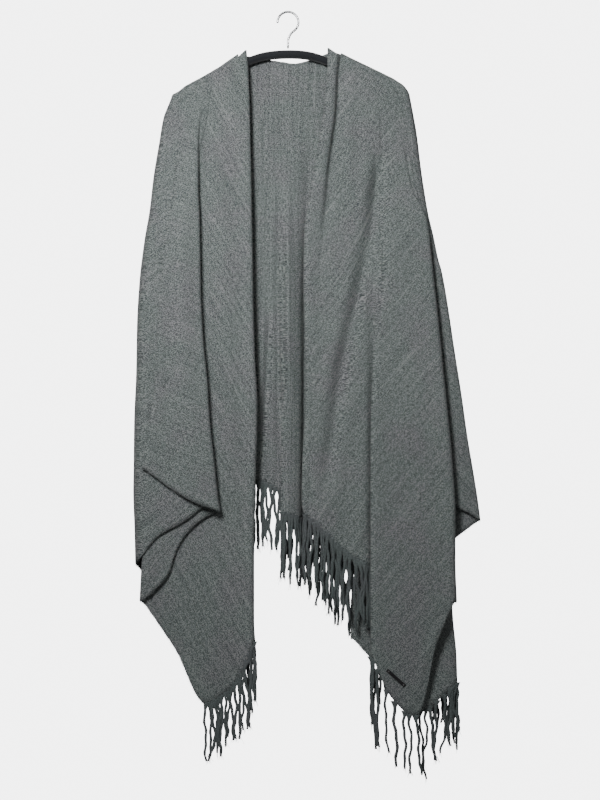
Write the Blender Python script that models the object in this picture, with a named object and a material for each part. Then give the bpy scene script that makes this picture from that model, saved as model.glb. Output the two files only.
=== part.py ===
"""Poncho scarf hanging from a clothes hanger: one slit cloth, its fringes, its bar tag and the hanger."""
import math
import random

import bmesh
import bpy
from mathutils import Vector

# The picture the shape is read from: its scale, its centre, and how far away it was taken.
PIXEL = 0.00172
VIEW_X = 300.0
VIEW_Y = 400.0
VIEW_DISTANCE = 3.0

# Where the hanger is held, in picture coordinates: the inside of the hook's top.
HELD_X = 288.0
HELD_Y = 13.0

CLOTH_WALL = 0.002
CLOTH_ROWS = 22
ROW_STEPS = (0.0, 0.16, 0.66, 1.0)
ROW_SHARES = (0.0, 0.14, 0.5, 1.0)
CREST_RISE = 2.5
CREST_MIDDLE = 0.0005
CREST_SPREAD = 0.0085
FOLD_STEP = 1.4
RIDGE_FADE = 4
SIDE_STEP = 11.0
SIDE_DEPTH = 0.06
SIDE_BEND = 50.0
PLEAT_OPENING = 12.0
PLEAT_LEAN = 0.2

SEAM_GAP = 0.0003
BACKING_WIDTH = 0.004
STRAND_WIDTH = 0.003
STRAND_PITCH = 0.0095
STRAND_CLEARANCE = 0.0058
STRAND_LENGTHS = (0.100, 0.126)
STRAND_TAPER = 0.6
STRAND_SWAY = 0.0012
STRAND_RINGS = 3
STRAND_NECK = 0.010
FRINGE_SEED = 7

ARM_HALF_DEPTH = 0.0056
ARM_HALF_HEIGHT = 0.0075
ARM_SIDES = 12
HOOK_RADIUS = 0.018
HOOK_FROM = -55.0
HOOK_TO = 185.0
HOOK_TURNS = 14
WIRE_RADIUS = 0.002
WIRE_SIDES = 8

TAG_FROM = (387.0, 670.0)
TAG_TO = (405.0, 686.0)
TAG_WIDTH = 0.0055
TAG_THICKNESS = 0.0014
TAG_CORNER = 0.0009
RIVET_RADIUS = 0.0015
RIVET_HEIGHT = 0.0007
RIVET_INSET = 0.0035

# Heights on the picture for the columns of LAYERS.
LEVELS = (46, 100, 120, 200, 250, 300, 420, 560, 720)

# How far each layer of cloth lies in front of the hanger's plane, in millimetres, at each of LEVELS.
LAYERS = {
    "facing_left": (8, 8, 8, 8, 8, 8, 8, 8, 8),
    "front_left": (13, 14, 14, 16, 17, 18, 18, 18, 18),
    "tuck_left": (13, 15, 17.5, 23, 24.5, 25.5, 26.5, 27, 27),
    "drop_left": (13, 16, 21, 29, 31, 32, 34.5, 36, 36),
    "under_lap": (13, 16, 21, 29.5, 34, 37, 42.5, 45, 45),
    "lap_left": (13, 16, 21, 30, 37, 42, 50.5, 54, 54),
    "back": (-8, -12, -13, -19, -23, -26, -31, -34, -36),
    "back_swell": (-8, -13, -14, -21, -27, -31, -40, -44, -46),
    "back_tuck": (-8, -12, -13, -17.5, -20, -22, -26, -28, -28),
    "back_middle": (-8, -12, -13, -17, -18, -19, -21, -21, -21),
    "return_right": (-8, -11.5, -12, -15.5, -16.5, -16.5, -12, -11, -11),
    "wing_inner": (-8, -11, -11, -10.5, -8, -6.5, -2, 1, 1),
    "wing_outer": (13, 13, 12.5, 9.5, 7.5, 8, 12, 13, 13),
    "tuck_right": (13, 13.5, 14, 15, 15.8, 17.2, 21, 22.5, 22.5),
    "front_right": (13, 14, 15.5, 21, 24.5, 27, 31, 32, 32),
    "pleat_under": (13, 14, 15, 19, 21, 22.8, 24, 24.5, 24.5),
    "front_inner": (13, 14, 15, 18, 20, 20, 17, 17, 17),
    "valley": (13, 13, 13, 11, 12, 13, 12, 13, 15),
    "collar": (12, 12, 12, 14, 17, 19, 16, 16, 16),
    "facing_right": (7.5, 7, 6.5, 6, 6, 6, 6, 6, 6),
}

# Every line that the cloth hangs in, in order along its lower edge from one side of the slit to the other.
# Each row gives the line's name, the layer before it and after it, what the cloth does there, the columns
# to the next line, and the line from the shoulder down to the edge in picture coordinates. The cloth runs
# on, turns back, turns back broadly at a side, or is one of the two folds of a pleat; a line within a pleat
# keeps its share of the way between the two folds.
LINES = (
    ("slit_left", "facing_left", "facing_left", "run", 3,
     ((238, 62), (228, 150), (215, 300), (205, 450), (196, 575))),
    ("edge_left", "facing_left", "front_left", "turn", 2,
     ((246, 50), (248, 73), (249.5, 120), (252, 240), (252.7, 290), (254.4, 356), (256.9, 406),
      (255.2, 480), (253.7, 562), (253.7, 623), (255, 642))),
    ("hem_left_1", "front_left", "front_left", "run", 1,
     ((238, 56.8), (238, 200), (239, 400), (240, 560), (240, 676))),
    ("hem_left_2", "front_left", "front_left", "run", 1,
     ((230, 62.4), (227, 200), (228, 400), (227, 560), (222, 695))),
    ("corner_left", "front_left", "front_left", "run", 1,
     ((224, 66.6), (220, 120), (216, 200), (214, 400), (210, 560), (204, 703))),
    ("side_left", "front_left", "front_left", "run", 1,
     ((219, 70.1), (213, 120), (208, 170), (203, 220), (196, 320), (186, 440), (178, 560), (175, 649))),
    ("tuck_fold", "front_left", "tuck_left", "pleat", 1,
     ((213.5, 73.3), (206.5, 118), (189, 200), (173, 300), (160, 400), (151, 480), (146, 530),
      (142, 565), (140, 601))),
    ("tuck_middle", "tuck_left", "tuck_left", "within", 1,
     ((209.5, 75.7), (178, 550))),
    ("lap_edge", "tuck_left", "lap_left", "pleat", 1,
     ((205.5, 78), (200, 118), (198, 147), (198, 183), (199.5, 222), (200, 260), (200.5, 290),
      (203, 340), (207, 381), (209.6, 422), (213.8, 460), (218.4, 501), (220.4, 511))),
    ("lap_1", "lap_left", "lap_left", "run", 1,
     ((200, 81.1), (193.5, 120), (189, 180), (186, 250), (187, 350), (189, 430), (189, 500))),
    ("lap_2", "lap_left", "lap_left", "run", 1,
     ((195, 83.7), (188.5, 120), (181, 180), (174, 250), (172, 350), (169, 420), (166, 482.5))),
    ("lap_crease", "lap_left", "under_lap", "pleat", 2,
     ((190, 86.4), (183, 120), (175, 180), (165, 250), (160.5, 295), (157.4, 343), (155, 389),
      (148, 431), (142.4, 471))),
    ("lap_inner", "under_lap", "drop_left", "pleat", 1,
     ((185.5, 88.9), (178.5, 120), (170.5, 180), (161, 250), (162, 300), (172, 343), (184, 400),
      (195, 450), (205, 507))),
    ("drop_1", "drop_left", "drop_left", "run", 1,
     ((182, 91.7), (175, 120), (167, 180), (157, 262), (156, 310), (160, 400), (168, 460), (181, 526))),
    ("drop_2", "drop_left", "drop_left", "run", 1,
     ((179, 94.1), (172, 120), (164, 180), (154.5, 262), (152, 310), (150, 400), (150, 470), (156, 541))),
    ("side_fold_left", "drop_left", "back", "side", 1,
     ((171.8, 98), (169, 105), (164, 118), (159.5, 144), (154, 177), (150, 211), (145, 240), (140, 281),
      (137.5, 323), (136.6, 373), (134.6, 422), (134, 472), (133.7, 490), (135, 531), (135.7, 563))),
    ("back_side_left", "back", "back", "run", 1,
     ((179, 94), (169, 200), (162, 300), (159, 420), (161, 520), (168, 604))),
    ("back_corner_left", "back_swell", "back_swell", "run", 1,
     ((192, 85.5), (189, 200), (187, 300), (189, 420), (197, 540), (206, 626))),
    ("back_hem_left_1", "back", "back", "run", 1,
     ((207, 77), (208, 200), (210, 300), (213, 420), (224, 570))),
    ("back_hem_left_2", "back_swell", "back_swell", "run", 1,
     ((222, 68), (226, 200), (230, 300), (235, 420), (240, 520))),
    ("neck_corner_left", "back", "back", "run", 1,
     ((236, 58.2), (243, 200), (247, 300), (250, 400), (253, 482))),
    ("neck_1", "back", "back", "run", 1,
     ((250, 57), (255, 200), (258, 300), (259, 400), (260, 481))),
    ("neck_2", "back", "back", "run", 1,
     ((263, 58.5), (267, 200), (269, 300), (270, 400), (270, 485))),
    ("back_pleat_1", "back", "back_tuck", "pleat", 1,
     ((274, 61.3), (278, 200), (280, 300), (281, 370), (285, 420), (290, 470), (292, 497))),
    ("back_pleat_2", "back_tuck", "back_middle", "pleat", 1,
     ((282, 62.5), (284.5, 200), (286, 300), (286, 370), (281.5, 425), (282, 451), (281, 513))),
    ("neck_3", "back_middle", "back_middle", "run", 1,
     ((297, 64.5), (297, 200), (297, 350), (296, 517.5))),
    ("neck_4", "back_middle", "back_middle", "run", 1,
     ((310, 60.7), (309, 200), (307, 350), (304, 523))),
    ("neck_5", "back", "back", "run", 1,
     ((322, 56), (322, 200), (321, 350), (318, 541))),
    ("neck_corner_right", "back_swell", "back_swell", "run", 1,
     ((335, 52.5), (338, 200), (340, 350), (342, 561))),
    ("back_hem_right_1", "back", "back", "run", 1,
     ((351, 61), (358, 200), (363, 350), (370, 584))),
    ("back_hem_right_2", "back_swell", "back_swell", "run", 1,
     ((367, 68.7), (376, 200), (387, 350), (401, 612))),
    ("back_hem_right_3", "back", "back", "run", 1,
     ((379, 74.4), (391, 180), (402, 250), (413, 350), (426, 500), (432, 651))),
    ("return_fold", "back", "return_right", "pleat", 1,
     ((388, 78.9), (400, 180), (413, 250), (419, 290), (427, 340), (438, 420), (445, 500), (450, 580),
      (453, 623), (456, 654), (457, 684))),
    ("corner_back_right", "return_right", "return_right", "within", 1,
     ((390.5, 80.3), (418, 712))),
    ("return_side", "return_right", "return_right", "within", 1,
     ((392.5, 81.4), (385, 675))),
    ("return_inner", "return_right", "wing_inner", "pleat", 1,
     ((395, 82.7), (407, 180), (417, 240), (417.5, 270), (412, 310), (400, 350), (375, 425), (360, 500),
      (353, 600), (351, 639))),
    ("wing_inner_1", "wing_inner", "wing_inner", "run", 1,
     ((399, 85.3), (411, 180), (423.5, 250), (426, 300), (420, 400), (410, 500), (405, 583))),
    ("wing_inner_2", "wing_inner", "wing_inner", "run", 1,
     ((402.5, 87.5), (414, 180), (428, 250), (437, 300), (447, 400), (453, 480), (458, 536))),
    ("wing_fold", "wing_inner", "wing_outer", "side", 1,
     ((409.5, 97), (412, 110), (416.4, 135), (420.6, 169), (424.8, 197), (428, 215), (433, 236),
      (438, 260), (441, 270), (447.5, 306), (454, 349.5), (461, 394), (467.4, 439), (472.8, 471),
      (477.4, 500), (480, 520))),
    ("wing_outer", "wing_outer", "wing_outer", "run", 1,
     ((402, 87.2), (409, 135), (417, 197), (422, 222), (428, 250), (441, 330), (452, 420), (463, 510))),
    ("wing_tuck", "wing_outer", "tuck_right", "pleat", 1,
     ((398, 84.6), (405, 135), (411.5, 190), (414.5, 210), (418, 237), (420, 260), (421, 330), (426, 420),
      (432, 498))),
    ("edge_right", "tuck_right", "front_right", "pleat", 1,
     ((393, 81.4), (400, 135), (407, 190), (414, 210), (424, 237), (430.4, 260), (433.4, 281),
      (438.4, 323), (443.3, 373), (446.7, 406), (450.8, 447), (454, 489), (455, 509), (455, 560),
      (456.5, 602))),
    ("side_right", "front_right", "front_right", "run", 1,
     ((388, 78.9), (395, 135), (402, 200), (416, 300), (430, 400), (437, 500), (440, 580), (437, 642))),
    ("corner_right", "front_right", "front_right", "run", 1,
     ((383, 76.4), (390, 135), (396, 200), (406, 330), (413, 450), (417, 600), (416, 716))),
    ("hem_right_1", "front_right", "front_right", "run", 1,
     ((379, 74.4), (385, 135), (388, 200), (390, 400), (391, 600), (392, 698.5))),
    ("pleat_edge", "front_right", "pleat_under", "pleat", 1,
     ((375, 72.5), (380, 135), (382, 222), (381, 300), (375, 344), (373, 379), (371.5, 420),
      (371, 500), (371, 658))),
    ("pleat_inner", "pleat_under", "front_inner", "pleat", 1,
     ((370, 70.1), (375, 135), (377, 222), (376, 300), (379, 344), (383, 400), (388, 450), (393, 520),
      (396, 593))),
    ("hem_right_2", "front_inner", "front_inner", "run", 1,
     ((365.5, 68), (371, 135), (372, 222), (371, 300), (371, 400), (371, 500), (371, 570))),
    ("valley", "valley", "valley", "run", 1,
     ((360, 65.4), (366, 150), (366, 222), (360, 260), (353, 311), (346, 366), (344, 450),
      (344, 550.5))),
    ("hem_right_3", "front_inner", "front_inner", "run", 1,
     ((350, 60.5), (350, 164), (346, 222), (336, 300), (327, 400), (324, 500), (324, 531))),
    ("collar_step", "front_inner", "front_inner", "run", 1,
     ((339.5, 55.2), (337.5, 82), (335, 107), (333, 138), (331, 155), (327, 190), (321, 240),
      (316, 300), (314, 400), (312, 520.5))),
    ("collar_inner", "collar", "collar", "run", 1,
     ((336.5, 53.5), (334.5, 82), (332, 107), (330, 138), (328, 155), (323, 190), (315, 240),
      (310.5, 300), (310, 400), (308.5, 517.5))),
    ("edge_inner", "collar", "facing_right", "turn", 3,
     ((328, 48), (328, 63), (325, 100), (318, 150), (309, 200), (304.5, 240), (304, 290), (305.5, 330),
      (306, 400), (303, 456), (302, 500), (304, 515))),
    ("slit_right", "facing_right", "facing_right", "run", 1,
     ((338, 58), (336, 150), (335, 300), (336, 420), (338, 492))),
)

# Lines between which the cloth lies over the hanger: in front from first to last, and behind.
SHOULDERS = (
    (("hem_left_1", "side_fold_left"), ("side_fold_left", "neck_corner_left")),
    (("wing_fold", "collar_step"), ("neck_corner_right", "wing_fold")),
)

# Each fringe, and the lines between which it hangs from the cloth's edge.
FRINGES = (
    ("fringe_front_left", "slit_left", "corner_left"),
    ("fringe_back", "back_corner_left", "corner_back_right"),
    ("fringe_front_right", "corner_right", "slit_right"),
)

# The ridge that the cloth makes over the hanger, in picture coordinates.
RIDGE = ((160, 108), (171.8, 98), (179, 94.1), (190, 86.4), (200, 81.1), (213.5, 73.3), (224, 66.6),
         (238, 56.8), (246, 50), (256, 47), (320, 47), (328, 48), (339.5, 55.2), (350, 60.5), (365.5, 68),
         (379, 74.4), (393, 81.4), (402.5, 87.5), (409.5, 97), (414, 106))

# The hanger's upper edge from one end to the other, in picture coordinates.
ARM_TOP = ((180, 97.5), (190, 91), (205, 82.2), (220, 73.2), (234, 65), (246, 58), (256, 54),
           (268, 51), (288, 49.5), (306, 50.5), (318, 53.5), (330, 58), (344, 64), (360, 71),
           (376, 78), (390, 84.8), (401, 92))

COLOURS = {
    "wool_green_grey": ((0.17, 0.195, 0.188), 0.92, 0.0),
    "hanger_black": ((0.012, 0.014, 0.018), 0.5, 0.0),
    "hook_steel": ((0.62, 0.63, 0.65), 0.25, 1.0),
    "tag_black": ((0.01, 0.01, 0.011), 0.4, 0.0),
    "rivet_steel": ((0.66, 0.66, 0.67), 0.3, 1.0),
}


def place(x, y, depth):
    """World position of a picture point that lies `depth` metres in front of the hanger's plane."""
    nearer = 1.0 - depth / VIEW_DISTANCE
    across = (x - VIEW_X) * nearer + VIEW_X - HELD_X
    up = (VIEW_Y - y) * nearer - VIEW_Y + HELD_Y
    return Vector((across * PIXEL, -depth, up * PIXEL))


def follow(knots, values, at):
    """Smooth curve through values at knots that never overshoots them."""
    last = len(knots) - 1
    if at <= knots[0]:
        return values[0]
    if at >= knots[last]:
        return values[last]
    slopes = [(values[i + 1] - values[i]) / (knots[i + 1] - knots[i]) for i in range(last)]
    tangents = [slopes[0]]
    for before, after in zip(slopes, slopes[1:]):
        same_way = before * after > 0.0
        tangents.append(2.0 * before * after / (before + after) if same_way else 0.0)
    tangents.append(slopes[-1])
    cell = max(i for i in range(last) if knots[i] <= at)
    span = knots[cell + 1] - knots[cell]
    t = (at - knots[cell]) / span
    near = (values[cell] * (1.0 + 2.0 * t) + tangents[cell] * span * t) * (1.0 - t) ** 2
    far = (values[cell + 1] * (3.0 - 2.0 * t) - tangents[cell + 1] * span * (1.0 - t)) * t * t
    return near + far


def eased(value):
    """Zero to one with soft ends."""
    value = min(max(value, 0.0), 1.0)
    return value * value * (3.0 - 2.0 * value)


def layer_depth(layer, y):
    """Metres that a layer lies in front of the hanger's plane at a height on the picture."""
    return 0.001 * follow(LEVELS, LAYERS[layer], y)


def line_point(points, share):
    """Picture point on a line, `share` of the way down from the shoulder to the cloth's edge."""
    heights = [point[1] for point in points]
    y = heights[0] + (heights[-1] - heights[0]) * share
    return follow(heights, [point[0] for point in points], y), y


def on_ridge(x, line_x, y, share):
    """Height of a point beside a line: level with the line at the edge, along the ridge at the shoulder."""
    across = [point[0] for point in RIDGE]
    heights = [point[1] for point in RIDGE]
    return y + (follow(across, heights, x) - follow(across, heights, line_x)) * (1.0 - share) ** RIDGE_FADE


def pleat_pairs():
    """Index of the other fold for every fold of a pleat."""
    folds = [index for index, line in enumerate(LINES) if line[3] == "pleat"]
    pairs = {}
    for first, second in zip(folds[::2], folds[1::2]):
        pairs[first], pairs[second] = second, first
    return pairs


def cross_section(share):
    """Control points (x, y, depth) and column counts of one row, and where each line's middle is."""
    controls = []
    middles = {}
    pairs = pleat_pairs()
    way = 1.0

    def add(at, depth, count):
        controls.append((at, on_ridge(at, x, y, share), depth, count))

    for index, (name, before, after, kind, columns, points) in enumerate(LINES):
        x, y = line_point(points, share)
        near, far = layer_depth(before, y), layer_depth(after, y)
        middle, half = 0.5 * (near + far), 0.5 * (far - near)
        if kind == "run":
            middles[name] = len(controls)
            add(x, near, columns)
        elif kind == "within":
            first = max(other for other in pairs if other < index)
            second = pairs[first]
            ends = [LINES[other][5][-1][0] for other in (first, index, second)]
            part = (ends[1] - ends[0]) / (ends[2] - ends[0])
            start, stop, laid = pleat_inside(first, second, way, share)
            middles[name] = len(controls)
            lean = pleat_lean(first, second, y, laid) * (2.0 * part - 1.0)
            add(start + (stop - start) * part, near + lean, columns)
        elif kind == "side":
            step = max(FOLD_STEP, SIDE_STEP * abs(far - near) / SIDE_DEPTH)
            back_off = step * (1.0 - math.cos(math.radians(SIDE_BEND)))
            lean = half * math.sin(math.radians(SIDE_BEND))
            add(x - way * step, near, 1)
            add(x - way * back_off, middle - lean, 1)
            middles[name] = len(controls)
            add(x, middle, 1)
            add(x - way * back_off, middle + lean, 1)
            add(x - way * step, far, columns)
            way = -way
        elif kind == "turn":
            add(x - way * FOLD_STEP, near, 1)
            middles[name] = len(controls)
            add(x, middle, 1)
            add(x - way * FOLD_STEP, far, columns)
            way = -way
        else:
            opening = index < pairs[index]
            first, second = (index, pairs[index]) if opening else (pairs[index], index)
            start, stop, laid = pleat_inside(first, second, way, share)
            lean = pleat_lean(first, second, y, laid)
            if opening:
                add(x - way * FOLD_STEP, near, 1)
                middles[name] = len(controls)
                add(x, middle - lean / 3.0, 1)
                add(start, far - lean, columns)
            else:
                add(stop, near + lean, 1)
                middles[name] = len(controls)
                add(x, middle + lean / 3.0, 1)
                add(x + way * FOLD_STEP, far, columns)
    return controls, middles


def pleat_inside(first, second, way, share):
    """Where the cloth between a pleat's two folds starts and stops, and how far the pleat is open there.

    One is open, minus one is laid over.
    """
    start, stop = (line_point(LINES[line][5], share)[0] for line in (first, second))
    laid = min(max((stop - start) * way / PLEAT_OPENING, -1.0), 1.0)
    return start + way * laid * FOLD_STEP, stop - way * laid * FOLD_STEP, laid


def pleat_lean(first, second, y, laid):
    """How far the cloth inside a pleat slopes through its depth where the pleat is still opening."""
    full = layer_depth(LINES[second][2], y) - layer_depth(LINES[first][1], y)
    return PLEAT_LEAN * full * (1.0 - abs(laid))


def cloth_rows():
    """Rows of (x, y, depth) from the shoulders down to the cloth's edge, and every line's column."""
    rows = []
    columns_of = {}
    for row in range(CLOTH_ROWS):
        share = follow(ROW_STEPS, ROW_SHARES, row / (CLOTH_ROWS - 1))
        controls, middles = cross_section(share)
        points = []
        starts = []
        for here, after in zip(controls, controls[1:] + controls[-1:]):
            starts.append(len(points))
            count = here[3] if after is not here else 1
            for part in range(count):
                t = part / count
                points.append(tuple(a + (b - a) * t for a, b in zip(here[:3], after[:3])))
        rows.append(points)
        columns_of = {name: starts[index] for name, index in middles.items()}
    return rows, columns_of


def zip_faces(upper, lower, positions):
    """Triangles that join two chains of vertices that run the same way, shortest rungs first."""
    faces = []
    i = j = 0
    while i < len(upper) - 1 or j < len(lower) - 1:
        if i == len(upper) - 1:
            step_upper = False
        elif j == len(lower) - 1:
            step_upper = True
        else:
            across_upper = (positions[upper[i + 1]] - positions[lower[j]]).length
            across_lower = (positions[upper[i]] - positions[lower[j + 1]]).length
            step_upper = across_upper <= across_lower
        if step_upper:
            corners = (upper[i], upper[i + 1], lower[j])
            i += 1
        else:
            corners = (upper[i], lower[j + 1], lower[j])
            j += 1
        if len(set(corners)) == 3:
            faces.append(corners)
    return faces


def cloth_surface():
    """The cloth's middle surface as positions and faces, its lower edge, and every line's column."""
    rows, columns_of = cloth_rows()
    width = len(rows[0])
    positions = [place(*point) for points in rows for point in points]
    faces = []
    for row in range(CLOTH_ROWS - 1):
        for column in range(width - 1):
            first = row * width + column
            faces.append((first, first + 1, first + width + 1, first + width))
    for (front_from, front_to), (back_from, back_to) in SHOULDERS:
        front = list(range(columns_of[front_from], columns_of[front_to] + 1))
        behind = list(range(columns_of[back_from], columns_of[back_to] + 1))
        crest = []
        for column in front:
            x, y, depth = rows[0][column]
            rise = CREST_RISE * min(1.0, abs(depth - CREST_MIDDLE) / CREST_SPREAD)
            if column in behind:
                crest.append(column)
                continue
            crest.append(len(positions))
            positions.append(place(x, y - rise, CREST_MIDDLE))
        for i in range(len(front) - 1):
            corners = []
            for corner in (crest[i], crest[i + 1], front[i + 1], front[i]):
                if corner not in corners:
                    corners.append(corner)
            faces.append(tuple(corners))
        faces.extend(zip_faces(crest[::-1], behind, positions))
    edge = [(CLOTH_ROWS - 1) * width + column for column in range(width)]
    return positions, faces, edge, columns_of, width


def surface_normals(positions, faces):
    """Outward normal of the middle surface at every position, the larger faces counting for more."""
    normals = [Vector() for _ in positions]
    for corners in faces:
        points = [positions[corner] for corner in corners]
        area = Vector()
        for here, after in zip(points, points[1:] + points[:1]):
            area += here.cross(after)
        for corner in corners:
            normals[corner] += area
    return [normal.normalized() for normal in normals]


def thickened(positions, faces, normals, wall):
    """Closed wall around a surface: its two sides and the rim along its open edges."""
    count = len(positions)
    vertices = [p + n * (wall / 2) for p, n in zip(positions, normals)]
    vertices += [p - n * (wall / 2) for p, n in zip(positions, normals)]
    solid = [tuple(corners) for corners in faces]
    solid += [tuple(corner + count for corner in reversed(corners)) for corners in faces]
    sides = {}
    for corners in faces:
        for here, after in zip(corners, corners[1:] + corners[:1]):
            sides[(here, after)] = True
    for here, after in sides:
        if (after, here) not in sides:
            solid.append((after, here, here + count, after + count))
    return vertices, solid


def material(name):
    colour, roughness, metallic = COLOURS[name]
    found = bpy.data.materials.get(name)
    if found:
        return found
    made = bpy.data.materials.new(name)
    made.use_nodes = True
    shader = made.node_tree.nodes["Principled BSDF"]
    shader.inputs["Base Color"].default_value = (*colour, 1.0)
    shader.inputs["Roughness"].default_value = roughness
    shader.inputs["Metallic"].default_value = metallic
    return made


def add_object(name, vertices, faces, finish, smooth=True):
    """Closed body from vertices and faces, turned outwards."""
    mesh = bpy.data.meshes.new(name)
    work = bmesh.new()
    corners = [work.verts.new(vertex) for vertex in vertices]
    for face in faces:
        work.faces.new([corners[index] for index in face])
    bmesh.ops.recalc_face_normals(work, faces=work.faces)
    work.to_mesh(mesh)
    work.free()
    mesh.polygons.foreach_set("use_smooth", [smooth] * len(mesh.polygons))
    mesh.materials.append(material(finish))
    made = bpy.data.objects.new(name, mesh)
    bpy.context.scene.collection.objects.link(made)
    return made


def backing_sections(positions, normals, edge, width, first, last):
    """Corners of the fringe's backing at every column: top and bottom, outer side and inner side."""
    sections = []
    for column in range(first, last + 1):
        here = positions[edge[column]]
        above = positions[edge[column] - width]
        before = positions[edge[max(column - 1, first)]]
        after = positions[edge[min(column + 1, last)]]
        along = (after - before).normalized()
        down = here - above
        out = normals[edge[column]]
        below = along.cross(out).normalized()
        down = below if below.dot(down) > 0.0 else -below
        out = out * (CLOTH_WALL / 2)
        top = here + down * SEAM_GAP
        bottom = here + down * (SEAM_GAP + BACKING_WIDTH)
        sections.append((top + out, bottom + out, bottom - out, top - out))
    return sections


def blend_section(one, other, share):
    return tuple(a.lerp(b, share) for a, b in zip(one, other))


def strand_places(sections, taken, chance):
    """Where strands leave the backing: segment, its span, and the length that each hangs."""
    places = []
    for index in range(len(sections) - 1):
        one, other = sections[index], sections[index + 1]
        start, end = one[1].lerp(one[2], 0.5), other[1].lerp(other[2], 0.5)
        level = math.hypot(end.x - start.x, end.y - start.y)
        count = int(level / STRAND_PITCH + 0.5)
        for number in range(count):
            middle = (number + 0.5) / count
            half = 0.5 * STRAND_WIDTH / level
            root = start.lerp(end, middle)
            length = chance.uniform(*STRAND_LENGTHS)
            near = any(
                math.hypot(root.x - other_root.x, root.y - other_root.y) < STRAND_CLEARANCE
                and root.z - length < other_root.z and other_root.z - other_length < root.z
                for other_root, other_length in taken)
            if near:
                continue
            taken.append((root, length))
            places.append((index, middle - half, middle + half, length))
    return places


def add_fringe(name, sections, chance, taken):
    """Backing strip and the strands that hang from it, as one closed body."""
    places = strand_places(sections, taken, chance)
    stations = [(float(index), sections[index], None) for index in range(len(sections))]
    for index, start, end, length in places:
        one, other = sections[index], sections[index + 1]
        stations.append((index + start, blend_section(one, other, start), length))
        stations.append((index + end, blend_section(one, other, end), None))
    stations.sort(key=lambda station: station[0])
    vertices = [corner for station in stations for corner in station[1]]
    faces = [(0, 1, 2, 3)]
    for number in range(len(stations) - 1):
        here, after = 4 * number, 4 * number + 4
        for side in (0, 2, 3):
            turn = (side + 1) % 4
            faces.append((here + side, after + side, after + turn, here + turn))
        length = stations[number][2]
        if length is None:
            faces.append((here + 1, after + 1, after + 2, here + 2))
            continue
        ring = (here + 1, after + 1, after + 2, here + 2)
        corners = [vertices[index] for index in ring]
        middle = sum(corners, Vector()) / 4
        along = corners[1] - corners[0]
        along.z = 0.0
        along.normalize()
        across = corners[3] - corners[0]
        across.z = 0.0
        across = (across - along * across.dot(along)).normalized()
        sway = chance.uniform(-STRAND_SWAY, STRAND_SWAY)
        for step in range(1, STRAND_RINGS + 1):
            share = step / STRAND_RINGS
            fall = STRAND_NECK if step == 1 else length * share
            size = 0.5 * STRAND_WIDTH * (1.0 - (1.0 - STRAND_TAPER) * share)
            swung = along * (sway * math.sin(math.pi * 1.5 * share))
            centre = middle - Vector((0.0, 0.0, fall)) + swung
            first = len(vertices)
            for side, front in ((-1, -1), (1, -1), (1, 1), (-1, 1)):
                vertices.append(centre + along * (side * size) + across * (front * size))
            new_ring = tuple(range(first, first + 4))
            for side in range(4):
                turn = (side + 1) % 4
                faces.append((ring[side], ring[turn], new_ring[turn], new_ring[side]))
            ring = new_ring
        faces.append(ring)
    last = 4 * (len(stations) - 1)
    faces.append((last + 3, last + 2, last + 1, last))
    add_object(name, vertices, faces, "wool_green_grey")
    return len(places)


def add_tube(name, centres, sides, finish, half_sizes, across=Vector((0.0, 1.0, 0.0))):
    """Round bar along a path in the hanger's plane, with a closed end at each side."""
    vertices = []
    faces = []
    for index, centre in enumerate(centres):
        before = centres[max(index - 1, 0)]
        after = centres[min(index + 1, len(centres) - 1)]
        along = (after - before).normalized()
        up = across.cross(along).normalized()
        half_depth, half_height = half_sizes(index / (len(centres) - 1))
        for side in range(sides):
            angle = 2.0 * math.pi * side / sides
            aside = across * (half_depth * math.cos(angle)) + up * (half_height * math.sin(angle))
            vertices.append(centre + aside)
    for index in range(len(centres) - 1):
        for side in range(sides):
            turn = (side + 1) % sides
            here, after = index * sides, (index + 1) * sides
            faces.append((here + side, here + turn, after + turn, after + side))
    faces.append(tuple(range(sides)))
    last = (len(centres) - 1) * sides
    faces.append(tuple(last + side for side in reversed(range(sides))))
    return add_object(name, vertices, faces, finish)


def arm_sizes(share):
    """Half depth and half height of the hanger: full along its length, rounded off at both ends."""
    ends = eased(min(share, 1.0 - share) * 12.0 + 0.35)
    return ARM_HALF_DEPTH * ends, ARM_HALF_HEIGHT * ends


def add_hanger():
    arm = []
    for x, y in ARM_TOP:
        centre = place(x, y, 0.0)
        arm.append(centre - Vector((0.0, 0.0, ARM_HALF_HEIGHT)))
    add_tube("hanger_arms", arm, ARM_SIDES, "hanger_black", arm_sizes)
    arm_top = next(y for x, y in ARM_TOP if x == HELD_X)
    foot = place(HELD_X, arm_top, 0.0).z + SEAM_GAP
    ring = Vector((0.0, 0.0, WIRE_RADIUS - HOOK_RADIUS))
    stem_top = ring.z + HOOK_RADIUS * math.sin(math.radians(HOOK_FROM))
    path = [Vector((0.0, 0.0, foot)), Vector((0.0, 0.0, 0.5 * (foot + stem_top)))]
    for turn in range(HOOK_TURNS + 1):
        angle = math.radians(HOOK_FROM + (HOOK_TO - HOOK_FROM) * turn / HOOK_TURNS)
        path.append(ring + Vector((HOOK_RADIUS * math.cos(angle), 0.0, HOOK_RADIUS * math.sin(angle))))
    add_tube("hanger_hook", path, WIRE_SIDES, "hook_steel", lambda share: (WIRE_RADIUS, WIRE_RADIUS))


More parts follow.
